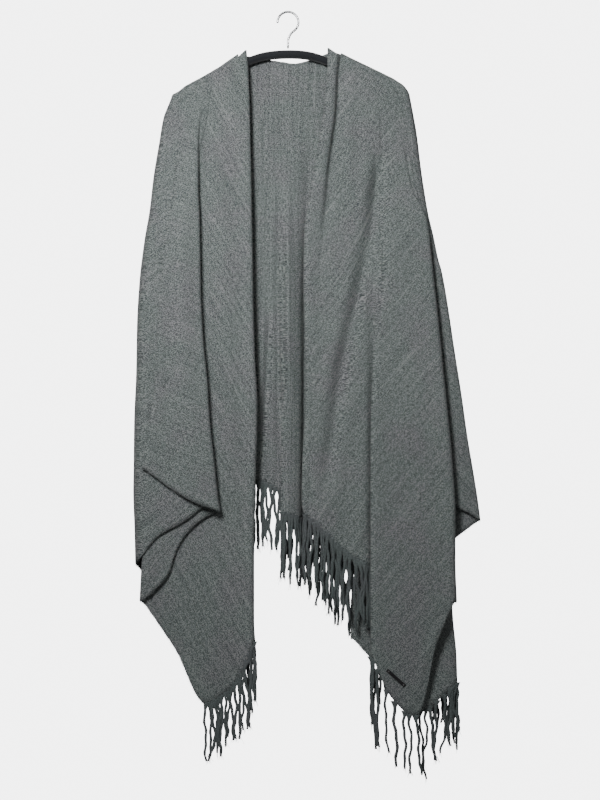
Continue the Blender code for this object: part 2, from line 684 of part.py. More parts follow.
def add_plate(name, middle, along, out, half_length, half_width, thickness, corner, finish):
    """Flat bar with rounded corners, standing on its middle point."""
    across = out.cross(along).normalized()
    outline = []
    for angle in range(0, 360, 30):
        turn = math.radians(angle + 15.0)
        push_x = math.copysign(half_length - corner, math.cos(turn))
        push_y = math.copysign(half_width - corner, math.sin(turn))
        outline.append((push_x + corner * math.cos(turn), push_y + corner * math.sin(turn)))
    vertices = []
    for height in (0.0, thickness):
        vertices += [middle + along * x + across * y + out * height for x, y in outline]
    count = len(outline)
    faces = [tuple(reversed(range(count))), tuple(range(count, 2 * count))]
    for index in range(count):
        turn = (index + 1) % count
        faces.append((index, turn, turn + count, index + count))
    add_object(name, vertices, faces, finish, smooth=False)


def add_tag():
    """Bare bar tag and its two rivets on the right front, near the corner."""
    y = 0.5 * (TAG_FROM[1] + TAG_TO[1])
    face = layer_depth("front_right", y) + 0.5 * CLOTH_WALL + SEAM_GAP
    start, end = place(*TAG_FROM, face), place(*TAG_TO, face)
    along = (end - start).normalized()
    out = Vector((0.0, -1.0, 0.0))
    middle = start.lerp(end, 0.5)
    half_length = 0.5 * (end - start).length
    half_width = 0.5 * TAG_WIDTH
    add_plate("bar_tag", middle, along, out, half_length, half_width, TAG_THICKNESS, TAG_CORNER, "tag_black")
    top = middle + out * (TAG_THICKNESS + SEAM_GAP)
    for name, side in (("tag_rivet_upper", -1.0), ("tag_rivet_lower", 1.0)):
        centre = top + along * (side * (half_length - RIVET_INSET))
        radius = RIVET_RADIUS
        add_plate(name, centre, along, out, radius, radius, RIVET_HEIGHT, radius, "rivet_steel")


for leftover in list(bpy.data.objects):
    bpy.data.objects.remove(leftover, do_unlink=True)

surface, quads, lower_edge, column_of, row_width = cloth_surface()
outward = surface_normals(surface, quads)
add_object("poncho_cloth", *thickened(surface, quads, outward, CLOTH_WALL), "wool_green_grey")

strands_taken = []
for number, (fringe_name, first_line, last_line) in enumerate(FRINGES):
    luck = random.Random(FRINGE_SEED + number)
    ends = sorted((column_of[first_line], column_of[last_line]))
    corners = backing_sections(surface, outward, lower_edge, row_width, *ends)
    add_fringe(fringe_name, corners, luck, strands_taken)

add_hanger()
add_tag()
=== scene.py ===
import math
import random

import bpy
import numpy as np
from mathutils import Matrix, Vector, noise


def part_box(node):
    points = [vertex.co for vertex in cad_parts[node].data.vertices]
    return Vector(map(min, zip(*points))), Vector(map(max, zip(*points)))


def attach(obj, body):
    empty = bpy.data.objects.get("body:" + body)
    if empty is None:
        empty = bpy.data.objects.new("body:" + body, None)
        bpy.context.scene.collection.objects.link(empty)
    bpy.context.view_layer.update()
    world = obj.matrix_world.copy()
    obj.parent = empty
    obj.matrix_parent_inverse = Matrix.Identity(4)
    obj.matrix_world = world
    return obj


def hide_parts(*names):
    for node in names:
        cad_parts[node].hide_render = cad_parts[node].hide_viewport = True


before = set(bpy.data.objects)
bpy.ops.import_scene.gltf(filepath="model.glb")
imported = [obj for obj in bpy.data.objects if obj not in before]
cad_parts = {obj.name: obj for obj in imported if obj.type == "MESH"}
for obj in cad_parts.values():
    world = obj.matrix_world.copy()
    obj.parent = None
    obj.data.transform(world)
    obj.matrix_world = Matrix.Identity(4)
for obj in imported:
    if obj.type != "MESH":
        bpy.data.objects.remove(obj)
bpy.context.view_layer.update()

# The room: an endless pale floor under the hanging poncho and pale air behind it. A small key lamp stands in
# front at the left, a wide weak one at the right and one behind. The camera is 3 m away and level.
PIXEL = 0.00172
VIEW_X, VIEW_Y, VIEW_DISTANCE = 300.0, 400.0, 3.0
HELD_X, HELD_Y = 288.0, 13.0
PICTURE_HEIGHT = 800
SENSOR = 36.0
FLOOR_DEPTH = -1.75
PALE = (0.862, 0.865, 0.868, 1.0)
SHOWN = 6.2
AMBIENT = 0.17

lens_view = bpy.data.cameras.new("camera")
lens_view.sensor_width = SENSOR
lens_view.lens = SENSOR * VIEW_DISTANCE / (PICTURE_HEIGHT * PIXEL)
camera = bpy.data.objects.new("camera", lens_view)
bpy.context.scene.collection.objects.link(camera)
camera.location = ((VIEW_X - HELD_X) * PIXEL, -VIEW_DISTANCE, (HELD_Y - VIEW_Y) * PIXEL)
camera.rotation_euler = (math.radians(90.0), 0.0, 0.0)
bpy.context.scene.camera = camera


class Wire:
    """A shader socket that takes part in sums: every operator adds its Math node to the tree."""

    def __init__(self, tree, socket=None):
        self.tree = tree
        self.socket = socket

    def node(self, kind, values=None, output=0, stops=None, **settings):
        made = self.tree.nodes.new("ShaderNode" + kind)
        for name, value in settings.items():
            setattr(made, name, value)
        if stops:
            ramp = made.color_ramp
            while len(ramp.elements) < len(stops):
                ramp.elements.new(1.0)
            for element, (position, colour) in zip(ramp.elements, stops):
                element.position = position
                element.color = (*colour, 1.0)
        for key, value in (values or {}).items():
            if isinstance(value, Wire):
                self.tree.links.new(value.socket, made.inputs[key])
            else:
                made.inputs[key].default_value = value
        return Wire(self.tree, made.outputs[output])

    def maths(self, operation, first, second):
        return self.node("Math", {0: first, 1: second}, operation=operation)

    def __add__(self, other):
        return self.maths("ADD", self, other)

    def __sub__(self, other):
        return self.maths("SUBTRACT", self, other)

    def __mul__(self, other):
        return self.maths("MULTIPLY", self, other)


def new_material(name, roughness, metallic=0.0, sheen=0.0, coat=0.0):
    """Principled material with its constants on the shader itself, and a wire to build its pattern with."""
    made = bpy.data.materials.new(name)
    made.use_nodes = True
    shader = made.node_tree.nodes["Principled BSDF"]
    shader.inputs["Roughness"].default_value = roughness
    shader.inputs["Metallic"].default_value = metallic
    shader.inputs["Sheen Weight"].default_value = sheen
    shader.inputs["Sheen Roughness"].default_value = 0.5
    shader.inputs["Coat Weight"].default_value = coat
    return made, shader, Wire(made.node_tree)


def deselect():
    bpy.ops.object.select_all(action="DESELECT")


world = bpy.data.worlds.new("room_air")
bpy.context.scene.world = world
world.use_nodes = True
air = Wire(world.node_tree)
seen = air.node("LightPath", output="Is Camera Ray")
glow = seen * (SHOWN - AMBIENT) + AMBIENT
background = world.node_tree.nodes["Background"]
background.inputs["Color"].default_value = PALE
world.node_tree.links.new(glow.socket, background.inputs["Strength"])

deselect()
bpy.ops.mesh.primitive_circle_add(vertices=96, radius=60.0, fill_type="NGON",
                                  location=(0.0, 0.0, FLOOR_DEPTH))
floor = bpy.context.object
floor.name = "floor"
paper, paper_shader, wire = new_material("pale_paper", 0.9)
paper_shader.inputs["Base Color"].default_value = (0.3, 0.3, 0.3, 1.0)
glowing = wire.node("Emission", {"Color": PALE, "Strength": SHOWN})
shown = wire.node("LightPath", output="Is Camera Ray")
both = wire.node("MixShader", {0: shown, 1: Wire(paper.node_tree, paper_shader.outputs[0]), 2: glowing})
paper.node_tree.links.new(both.socket, paper.node_tree.nodes["Material Output"].inputs["Surface"])
floor.data.materials.append(paper)


def lamp(name, place_at, aim, size, power, spread):
    light = bpy.data.lights.new(name, "AREA")
    light.shape = "DISK"
    light.size = size
    light.energy = power
    light.spread = math.radians(spread)
    made = bpy.data.objects.new(name, light)
    bpy.context.scene.collection.objects.link(made)
    made.location = place_at
    made.rotation_euler = (Vector(aim) - Vector(place_at)).to_track_quat("-Z", "Y").to_euler()
    made.visible_camera = False


lamp("lamp_key", (-0.52, -1.98, 0.30), (-0.15, 0.0, -0.32), 0.56, 8.7, 80.0)
lamp("lamp_fill", (1.8, -2.2, 0.4), (0.0, 0.0, -0.5), 1.8, 3.0, 180.0)
lamp("lamp_behind", (0.4, 2.0, 0.9), (0.0, 0.0, -0.4), 1.6, 26.0, 180.0)


# The cloth: one wrap of heather-grey wool, woven plain in two greys and slit up the middle of its front. It
# hangs over the hanger by its own weight, with both fronts pulled out to the side and laid in deep folds.
CLOTH_WALL = 0.002
FOLD_STEP = 1.4
RIDGE_FADE = 4
SIDE_STEP = 11.0
SIDE_DEPTH = 0.06
SIDE_BEND = 50.0
SIDE_HEM = 6
PLEAT_OPENING = 12.0
PLEAT_LEAN = 0.2
CLOTH_ROWS = 94
COLUMN_STEP = 9.0
FINE_STEP = 3.3
FOLD_COLUMNS = 3
CREST_RISE = 2.5
CREST_MIDDLE = 0.0005
CREST_SPREAD = 0.0085
CREST_ARCS = 4
DEPTH_SHARE = 0.8

# Heights on the picture for the columns of LAYERS.
LEVELS = (46, 100, 120, 200, 250, 300, 420, 560, 720)

# How far each layer of cloth lies in front of the hanger's plane, in millimetres, at each of LEVELS.
LAYERS = {
    "facing_left": (8, 8, 8, 8, 8, 8, 8, 8, 8),
    "front_left": (13, 14, 14.5, 16, 17, 18, 18, 18, 18),
    "tuck_left": (13, 14.4, 16, 23, 24.5, 25.5, 26.5, 27, 27),
    "drop_left": (13, 14.4, 17, 27, 31, 32, 33, 34, 34),
    "under_lap": (13, 14.4, 17, 28, 35, 38, 39, 38, 38),
    "lap_left": (13, 15, 20, 37, 43, 45, 46, 46, 46),
    "lap_outer": (13, 15, 20, 34, 40, 42, 43, 42, 42),
    "back": (-8, -12, -13, -19, -23, -26, -31, -30, -12),
    "back_swell": (-8, -13, -14, -21, -27, -31, -40, -44, -46),
    "back_tuck": (-8, -12, -13, -14, -13.5, -12, -11.5, -11.5, -11.5),
    "back_near": (-8, -12, -13, -16, -18, -20, -23, -23, -23),
    "back_middle": (-8, -12, -13, -12.5, -9.5, -6.5, -6, -6, -6),
    "back_fall": (-8, -12, -13, -14.5, -13, -11, -11, -11, -11),
    "back_gap": (-8, -12, -13, -19, -22, -25, -28, -29, -29),
    "return_right": (-8, -11.5, -12, -15.5, -17, -17.5, -18, -15, 13),
    "wing_inner": (-8, -11, -11, -10.5, -9, -9, -9, -9, -9),
    "wing_outer": (13, 13, 13, 12, 5, 3, 2, 3, 3),
    "tuck_right": (13, 13, 13.3, 14.5, 15.8, 17.2, 21, 22.5, 22.5),
    "front_right": (13, 13.5, 14, 18, 24, 27, 31, 32, 32),
    "pleat_under": (13, 14, 15, 18, 21, 22.8, 24, 24.5, 24.5),
    "pleat_dip": (13, 14, 15, 17, 19, 17, 10, 9, 9),
    "front_inner": (13, 14, 15, 17, 20, 20, 18, 18, 18),
    "valley": (13, 13.5, 14, 15, 15, 15, 14, 14, 15),
    "collar": (20, 23, 24, 23, 21.5, 20.5, 17, 17, 17),
    "collar_foot": (10.5, 10.5, 11, 14.5, 18.5, 19.5, 17.5, 17.5, 17.5),
    "facing_right": (7.5, 7, 6.5, 6, 6, 6, 6, 6, 6),
}

# Every line that the cloth hangs in, in order along its lower edge from one side of the slit to the other.
# Each row gives the line's name, the layer before it and after it, what the cloth does there, the columns
# to the next line, and the line from the shoulder down to the edge in picture coordinates. The cloth runs
# on, turns back, turns back broadly at a side, or is one of the two folds of a pleat; a line within a pleat
# keeps its share of the way between the two folds.
LINES = (
    ("slit_left", "facing_left", "facing_left", "run", 3,
     ((238, 62), (228, 150), (215, 300), (205, 450), (196, 575))),
    ("edge_left", "facing_left", "front_left", "turn", 2,
     ((246, 50), (248, 73), (249.5, 120), (252, 240), (252.7, 290), (254.4, 356), (256.9, 406),
      (255.2, 480), (253.7, 562), (253.7, 623), (255, 642))),
    ("hem_left_1", "front_left", "front_left", "run", 1,
     ((238, 56.8), (238, 200), (239, 400), (240, 560), (240, 676))),
    ("hem_left_2", "front_left", "front_left", "run", 1,
     ((230, 62.4), (227, 200), (228, 400), (227, 560), (222, 695))),
    ("corner_left", "front_left", "front_left", "run", 1,
     ((224, 66.6), (220, 120), (216, 200), (214, 400), (210, 560), (204, 703))),
    ("side_left", "front_left", "front_left", "run", 1,
     ((219, 70.1), (213, 120), (208, 170), (203, 220), (196, 320), (186, 440), (178, 560), (175, 649))),
    ("tuck_fold", "front_left", "tuck_left", "pleat", 1,
     ((213.5, 73.3), (206.5, 118), (189, 200), (173, 300), (160, 400), (151, 480), (146, 530),
      (142, 565), (140, 601))),
    ("tuck_low", "tuck_left", "tuck_left", "within", 1,
     ((211, 75), (166, 577))),
    ("tuck_middle", "tuck_left", "tuck_left", "within", 1,
     ((209.5, 75.7), (179, 544))),
    ("tuck_high", "tuck_left", "tuck_left", "within", 1,
     ((207, 77), (200, 521))),
    ("lap_edge", "tuck_left", "lap_left", "pleat", 1,
     ((205.5, 78), (200, 118), (198, 147), (198, 183), (199.5, 222), (200, 260), (200.5, 290),
      (203, 340), (207, 381), (209.6, 422), (213.8, 460), (218.4, 501), (220.4, 511))),
    ("lap_1", "lap_left", "lap_left", "run", 1,
     ((200, 81.1), (193.5, 120), (189, 180), (186, 250), (187, 350), (189, 430), (190, 500))),
    ("lap_2", "lap_outer", "lap_outer", "run", 1,
     ((195, 83.7), (188.5, 120), (181, 180), (174, 250), (172, 350), (169, 420), (167, 486))),
    ("lap_crease", "lap_outer", "under_lap", "pleat", 2,
     ((190, 86.4), (183, 120), (175, 180), (165, 250), (160.5, 295), (157.4, 343), (155, 389),
      (148, 431), (142.4, 469))),
    ("lap_inner", "under_lap", "drop_left", "pleat", 1,
     ((185.5, 88.9), (178.5, 120), (170.5, 180), (161, 250), (162, 300), (172, 343), (184, 400),
      (195, 450), (205, 507))),
    ("drop_1", "drop_left", "drop_left", "run", 1,
     ((182, 91.7), (175, 120), (167, 180), (157, 262), (156, 310), (160, 400), (168, 460), (181, 523.5))),
    ("drop_2", "drop_left", "drop_left", "run", 1,
     ((179, 94.1), (172, 120), (164, 180), (154.5, 262), (152, 310), (150, 400), (150, 470), (157, 537))),
    ("side_fold_left", "drop_left", "back", "side", 1,
     ((171.8, 98), (169, 105), (164, 118), (159.5, 144), (154, 177), (150, 211), (145, 240), (140, 281),
      (137.5, 323), (136.6, 373), (134.6, 422), (134, 472), (133.7, 490), (135, 531), (135.7, 563))),
    ("back_side_left", "back", "back", "run", 1,
     ((179, 94), (169, 200), (162, 300), (159, 420), (161, 520), (168, 604))),
    ("back_corner_left", "back_swell", "back_swell", "run", 1,
     ((192, 85.5), (189, 200), (187, 300), (189, 420), (197, 540), (206, 626))),
    ("back_hem_left_1", "back", "back", "run", 1,
     ((207, 77), (208, 200), (210, 300), (213, 420), (224, 570))),
    ("back_hem_left_2", "back_swell", "back_swell", "run", 1,
     ((222, 68), (226, 200), (230, 300), (235, 420), (240, 520))),
    ("neck_corner_left", "back_near", "back_near", "run", 1,
     ((236, 58.2), (243, 200), (247, 300), (250, 400), (253, 482))),
    ("neck_1", "back_near", "back_near", "run", 1,
     ((250, 57), (255, 200), (258, 300), (259, 400), (260, 481))),
    ("neck_2", "back_near", "back_near", "run", 1,
     ((263, 58.5), (267, 200), (269, 300), (270, 400), (270, 485))),
    ("back_pleat_1", "back_near", "back_tuck", "pleat", 1,
     ((274, 61.3), (278, 200), (280, 300), (281, 370), (285, 420), (290, 470), (292, 497))),
    ("back_pleat_2", "back_tuck", "back_middle", "pleat", 1,
     ((282, 62.5), (284.5, 200), (286, 300), (286, 370), (281.5, 425), (282, 451), (281, 513))),
    ("neck_3", "back_middle", "back_middle", "run", 1,
     ((293, 64.3), (291, 200), (290.5, 350), (290.5, 515.5))),
    ("neck_fall", "back_fall", "back_fall", "run", 1,
     ((301, 63.1), (300, 200), (299.8, 350), (299, 518))),
    ("neck_4", "back_gap", "back_gap", "run", 1,
     ((310, 60.7), (305, 200), (303.8, 350), (303, 521))),
    ("neck_5", "back_gap", "back_gap", "run", 1,
     ((316, 58.4), (311, 200), (310, 350), (309, 527))),
    ("neck_6", "back", "back", "run", 1,
     ((324, 55.5), (326, 200), (326, 350), (324, 543))),
    ("neck_corner_right", "back_swell", "back_swell", "run", 1,
     ((335, 52.5), (338, 200), (340, 350), (342, 561))),
    ("back_hem_right_1", "back", "back", "run", 1,
     ((351, 61), (358, 200), (363, 350), (370, 584))),
    ("back_hem_right_2", "back_swell", "back_swell", "run", 1,
     ((367, 68.7), (376, 200), (387, 350), (401, 612))),
    ("back_hem_right_3", "back", "back", "run", 1,
     ((379, 74.4), (391, 180), (402, 250), (413, 350), (426, 500), (432, 651))),
    ("return_fold", "back", "return_right", "pleat", 1,
     ((388, 78.9), (400, 180), (413, 250), (419, 290), (427, 340), (438, 420), (445, 500), (450, 580),
      (453, 623), (456, 654), (457, 684))),
    ("corner_back_right", "return_right", "return_right", "within", 1,
     ((390.5, 80.3), (418, 712))),
    ("return_side", "return_right", "return_right", "within", 1,
     ((392.5, 81.4), (385, 675))),
    ("return_inner", "return_right", "wing_inner", "pleat", 1,
     ((395, 82.7), (407, 180), (417, 240), (417.5, 270), (412, 310), (400, 350), (375, 425), (360, 500),
      (353, 600), (351, 639))),
    ("wing_inner_1", "wing_inner", "wing_inner", "run", 1,
     ((399, 85.3), (411, 180), (423.5, 250), (426, 300), (420, 400), (410, 500), (405, 583))),
    ("wing_inner_2", "wing_inner", "wing_inner", "run", 1,
     ((402.5, 87.5), (414, 180), (428, 250), (437, 300), (447, 400), (453, 480), (458, 536))),
    ("wing_fold", "wing_inner", "wing_outer", "side", 1,
     ((409.5, 97), (412, 110), (416.4, 135), (420.6, 169), (424.8, 197), (428, 215), (433, 236),
      (438, 260), (441, 270), (447.5, 306), (454, 349.5), (461, 394), (467.4, 439), (472.8, 471),
      (477.4, 500), (480, 520))),
    ("wing_outer", "wing_outer", "wing_outer", "run", 1,
     ((402, 87.2), (410.5, 135), (418.5, 190), (421, 222), (428, 250), (441, 330), (452, 420), (463, 510))),
    ("wing_tuck", "wing_outer", "tuck_right", "pleat", 1,
     ((398, 84.6), (406.5, 135), (414.5, 190), (416.5, 210), (418, 237), (420, 260), (421, 330), (426, 420),
      (432, 498))),
    ("edge_right", "tuck_right", "front_right", "pleat", 1,
     ((393, 81.4), (402, 135), (412, 190), (421.5, 206), (427, 222), (429.5, 240), (431.6, 260), (433.8, 281),
      (438.4, 323), (443.3, 373), (446.7, 406), (450.8, 447), (454, 489), (455, 509), (455, 560),
      (456.5, 602))),
    ("side_right", "front_right", "front_right", "run", 1,
     ((388, 78.9), (395, 135), (402, 200), (416, 300), (430, 400), (437, 500), (440, 580), (437, 642))),
    ("corner_right", "front_right", "front_right", "run", 1,
     ((383, 76.4), (390, 135), (396, 200), (406, 330), (413, 450), (417, 600), (416, 716))),
    ("hem_right_1", "front_right", "front_right", "run", 1,
     ((379, 74.4), (385, 135), (388, 200), (390, 400), (391, 600), (392, 698.5))),
    ("pleat_edge", "front_right", "pleat_under", "pleat", 1,
     ((375, 72.5), (380, 135), (382, 222), (381, 300), (375, 344), (373, 379), (371.5, 420),
      (371, 500), (371, 658))),
    ("pleat_inner", "pleat_under", "front_inner", "pleat", 1,
     ((370, 70.1), (375, 135), (377, 222), (376, 300), (379, 344), (383, 400), (388, 450), (393, 520),
      (396, 593))),
    ("hem_right_2", "pleat_dip", "pleat_dip", "run", 1,
     ((366, 68.2), (372, 135), (374, 222), (373, 300), (372.5, 400), (372.5, 500), (372.5, 570))),
    ("pleat_lip", "front_inner", "front_inner", "run", 1,
     ((362, 66.3), (368, 135), (369.5, 222), (367, 300), (366, 400), (366, 500), (366, 565))),
    ("valley", "valley", "valley", "run", 1,
     ((356, 63.4), (358, 150), (358, 222), (356, 260), (351, 311), (346, 366), (344, 450),
      (344, 550.5))),
    ("hem_right_3", "front_inner", "front_inner", "run", 1,
     ((350, 60.5), (350, 164), (346, 222), (336, 300), (327, 400), (324, 500), (324, 531))),
    ("collar_step", "collar_foot", "collar_foot", "run", 1,
     ((341, 55.9), (338.2, 75), (337.6, 90), (336, 115), (332.8, 140), (330.5, 155), (328.5, 175),
      (326.5, 200), (323, 240), (318, 300), (315, 400), (312.5, 520.5))),
    ("collar_lip", "collar", "collar", "run", 1,
     ((337.5, 54), (335.3, 75), (334.7, 90), (333, 115), (329.8, 140), (327.4, 155), (325, 175),
      (322.5, 200), (318, 240), (313.5, 300), (311.5, 400), (309, 517.5))),
    ("edge_inner", "collar", "facing_right", "turn", 3,
     ((328, 48), (328, 63), (325, 100), (318, 150), (309, 200), (304.5, 240), (304, 290), (305.5, 330),
      (306, 400), (303, 456), (302, 500), (304, 515))),
    ("slit_right", "facing_right", "facing_right", "run", 1,
     ((338, 58), (336, 150), (335, 300), (336, 420), (338, 492))),
)

# Lines between which the cloth lies over the hanger: in front from first to last, and behind.
SHOULDERS = (
    (("hem_left_1", "side_fold_left"), ("side_fold_left", "neck_corner_left")),
    (("wing_fold", "collar_step"), ("neck_corner_right", "wing_fold")),
)

# The ridge that the cloth makes over the hanger, in picture coordinates.
RIDGE = ((160, 108), (171.8, 98), (179, 94.1), (190, 86.4), (200, 81.1), (213.5, 73.3), (224, 66.6),
         (238, 56.8), (246, 50), (256, 47), (320, 47), (328, 48), (339.5, 55.2), (350, 60.5), (365.5, 68),
         (379, 74.4), (393, 81.4), (402.5, 87.5), (409.5, 97), (414, 106))

# Which way the warp runs in each layer: degrees from straight down, towards the right.
GRAIN = {
    "facing_left": -28, "front_left": 28, "tuck_left": -42, "drop_left": -51, "under_lap": -51,
    "lap_left": 65, "lap_outer": 65, "back": 0, "back_swell": 0, "back_tuck": 3, "back_near": 0,
    "back_middle": 0, "back_fall": 0, "back_gap": 0, "return_right": 35, "wing_inner": 35,
    "wing_outer": 42, "tuck_right": 30, "front_right": -40, "pleat_under": -36, "pleat_dip": -34,
    "front_inner": -34, "valley": -34, "collar": -26, "collar_foot": -30, "facing_right": 20,
}

# Layers that face the viewer, which are meshed finely enough for the creases below.
FINE_LAYERS = ("front_left", "lap_left", "lap_outer", "back_near", "back_middle", "back_fall", "front_right",
               "front_inner", "valley", "collar", "collar_foot", "pleat_dip")

# Soft creases that are pressed into a layer: the lines between which it lies, its half width on the
# picture, its depth in millimetres, and its line from top to bottom.
CREASES = (
    ("valley", "corner_right", "collar_step", 6.5, -11.5,
     ((384, 130), (381, 150), (377.5, 175), (374, 200), (370, 232), (365.5, 262), (361, 288), (356, 310),
      (351, 330), (346, 350))),
    ("valley_low", "pleat_lip", "edge_inner", 7.5, -9.0,
     ((352, 318), (347, 345), (341, 370), (337, 400), (332, 440), (327, 470), (322, 505))),
    ("valley_ridge", "corner_right", "collar_step", 7.5, 4.4,
     ((370, 140), (364, 182), (358, 220), (352, 265), (344, 305), (334, 350), (324, 400))),
    ("valley_floor", "corner_right", "pleat_lip", 8.5, -5.5,
     ((388, 150), (383, 190), (379, 230), (376, 270), (370, 310), (364, 345))),
    ("pleat_start", "side_right", "pleat_edge", 4.0, -4.4,
     ((385, 225), (382.5, 260), (380, 290), (376.5, 320), (374, 345))),
    ("inner_ridge", "pleat_lip", "edge_inner", 7.0, 3.2,
     ((360, 325), (353, 375), (347, 420), (341, 470), (335, 520))),
    ("collar_ridge", "pleat_lip", "collar_step", 7.0, 1.8,
     ((352, 90), (347, 130), (341, 180), (333, 230), (322, 290))),
    ("pull_1", "edge_right", "pleat_edge", 3.2, 1.5, ((399, 428), (412, 410), (426, 392), (440, 374))),
    ("pull_2", "edge_right", "pleat_edge", 2.6, -1.4, ((401, 433), (415, 414), (429, 396), (443, 379))),
    ("pull_3", "edge_right", "pleat_edge", 3.0, 1.2, ((378, 412), (388, 398), (399, 384), (412, 366))),
    ("pressed_corner", "pleat_lip", "hem_right_3", 2.0, 1.8,
     ((350, 558), (357, 543), (364, 527), (369, 517))),
    ("pressed_hollow", "pleat_lip", "hem_right_3", 5.5, -2.4,
     ((358, 566), (363, 552), (367, 538), (370, 526))),
    ("left_slope", "edge_left", "tuck_fold", 9.0, 1.8,
     ((214, 125), (219, 200), (224, 300), (228, 420), (232, 540))),
    ("left_hollow", "edge_left", "tuck_fold", 8.0, -1.6,
     ((226, 110), (236, 200), (240, 330), (243, 450), (243, 580))),
    ("left_bend", "edge_left", "tuck_fold", 3.4, -2.4,
     ((209, 128), (207, 160), (206, 190), (209, 214), (215, 236))),
    ("left_pull_1", "edge_left", "tuck_fold", 2.6, 1.0, ((213, 114), (221, 130), (228, 146), (235, 162))),
    ("left_pull_2", "edge_left", "tuck_fold", 2.8, 1.1, ((224, 228), (231, 243), (238, 258), (246, 275))),
    ("left_pull_3", "edge_left", "tuck_fold", 2.8, -1.0, ((206, 306), (214, 322), (222, 338), (231, 355))),
    ("left_pull_4", "edge_left", "tuck_fold", 3.0, 1.0, ((212, 366), (222, 383), (231, 399), (243, 420))),
    ("lap_hollow", "lap_edge", "lap_crease", 6.0, -2.4,
     ((196, 160), (196, 230), (197, 310), (201, 380), (206, 440), (211, 490))),
    ("lap_ridge", "lap_edge", "lap_crease", 8.0, 4.0,
     ((184, 160), (182, 240), (182, 320), (187, 400), (191, 450), (195, 490))),
    ("lap_dip", "lap_edge", "lap_crease", 6.0, -1.4,
     ((174, 180), (171, 250), (168, 330), (166, 410), (163, 465))),
    ("back_crease_1", "neck_corner_left", "back_pleat_1", 3.0, -8.0,
     ((270, 300), (268.5, 340), (267.5, 370), (264.5, 405), (262, 440), (259, 480))),
    ("back_ridge_1", "neck_corner_left", "back_pleat_1", 3.5, 3.2,
     ((264, 300), (263, 340), (261, 375), (258.5, 410), (256, 450))),
    ("back_crease_2", "neck_1", "back_pleat_1", 3.2, -2.4,
     ((279, 190), (278, 260), (277, 340), (277, 390), (279, 440), (281, 480))),
    ("back_crease_3", "neck_corner_left", "neck_2", 3.2, -1.8,
     ((266, 110), (266, 170), (266, 230), (268, 300))),
    ("back_crease_4", "neck_corner_left", "neck_4", 5.0, 1.8,
     ((276, 80), (272, 120), (272, 200), (273, 300), (273, 400))),
    ("back_crease_5", "neck_3", "neck_6", 3.0, -2.2, ((303, 160), (307, 172), (309.5, 186), (306, 203))),
    ("back_ridge_2", "neck_2", "neck_4", 5.0, 5.0,
     ((287, 190), (287.5, 260), (288, 330), (288, 420), (287, 480))),
    ("back_nick", "neck_3", "neck_5", 1.8, -3.0, ((305, 308), (301, 314), (296, 322))),
    ("lip", "side_right", "corner_right", 2.6, 2.4,
     ((452, 598), (447, 612), (438, 630), (428, 650), (422, 668), (420, 682), (418, 697))),
)


def place(x, y, depth):
    """World position of picture points that lie `depth` metres in front of the hanger's plane."""
    nearer = 1.0 - depth / VIEW_DISTANCE
    across = (x - VIEW_X) * nearer + VIEW_X - HELD_X
    up = (VIEW_Y - y) * nearer - VIEW_Y + HELD_Y
    return np.stack([across * PIXEL, -depth, up * PIXEL], axis=-1)


def follow(knots, values, at):
    """Smooth curve through values at knots that never overshoots them."""
    last = len(knots) - 1
    if at <= knots[0]:
        return values[0]
    if at >= knots[last]:
        return values[last]
    slopes = [(values[i + 1] - values[i]) / (knots[i + 1] - knots[i]) for i in range(last)]
    tangents = [slopes[0]]
    for before, after in zip(slopes, slopes[1:]):
        same_way = before * after > 0.0
        tangents.append(2.0 * before * after / (before + after) if same_way else 0.0)
    tangents.append(slopes[-1])
    cell = max(i for i in range(last) if knots[i] <= at)
    span = knots[cell + 1] - knots[cell]
    t = (at - knots[cell]) / span
    near = (values[cell] * (1.0 + 2.0 * t) + tangents[cell] * span * t) * (1.0 - t) ** 2
    far = (values[cell + 1] * (3.0 - 2.0 * t) - tangents[cell + 1] * span * (1.0 - t)) * t * t
    return near + far


def layer_depth(layer, y):
    return 0.001 * follow(LEVELS, LAYERS[layer], y)


def line_point(points, share):
    heights = [point[1] for point in points]
    y = heights[0] + (heights[-1] - heights[0]) * share
    return follow(heights, [point[0] for point in points], y), y


def on_ridge(x, line_x, y, share):
    """Height of a point beside a line: level with the line at the edge, along the ridge at the shoulder."""
    across = [point[0] for point in RIDGE]
    heights = [point[1] for point in RIDGE]
    return y + (follow(across, heights, x) - follow(across, heights, line_x)) * (1.0 - share) ** RIDGE_FADE


folds = [index for index, line in enumerate(LINES) if line[3] == "pleat"]
pleat_of = {}
for first_fold, second_fold in zip(folds[::2], folds[1::2]):
    pleat_of[first_fold] = pleat_of[second_fold] = (first_fold, second_fold)


def pleat_inside(first, second, way, share):
    """Where the cloth between a pleat's two folds starts and stops, and how far the pleat is open there."""
    start, stop = (line_point(LINES[line][5], share)[0] for line in (first, second))
    laid = min(max((stop - start) * way / PLEAT_OPENING, -1.0), 1.0)
    return start + way * laid * FOLD_STEP, stop - way * laid * FOLD_STEP, laid


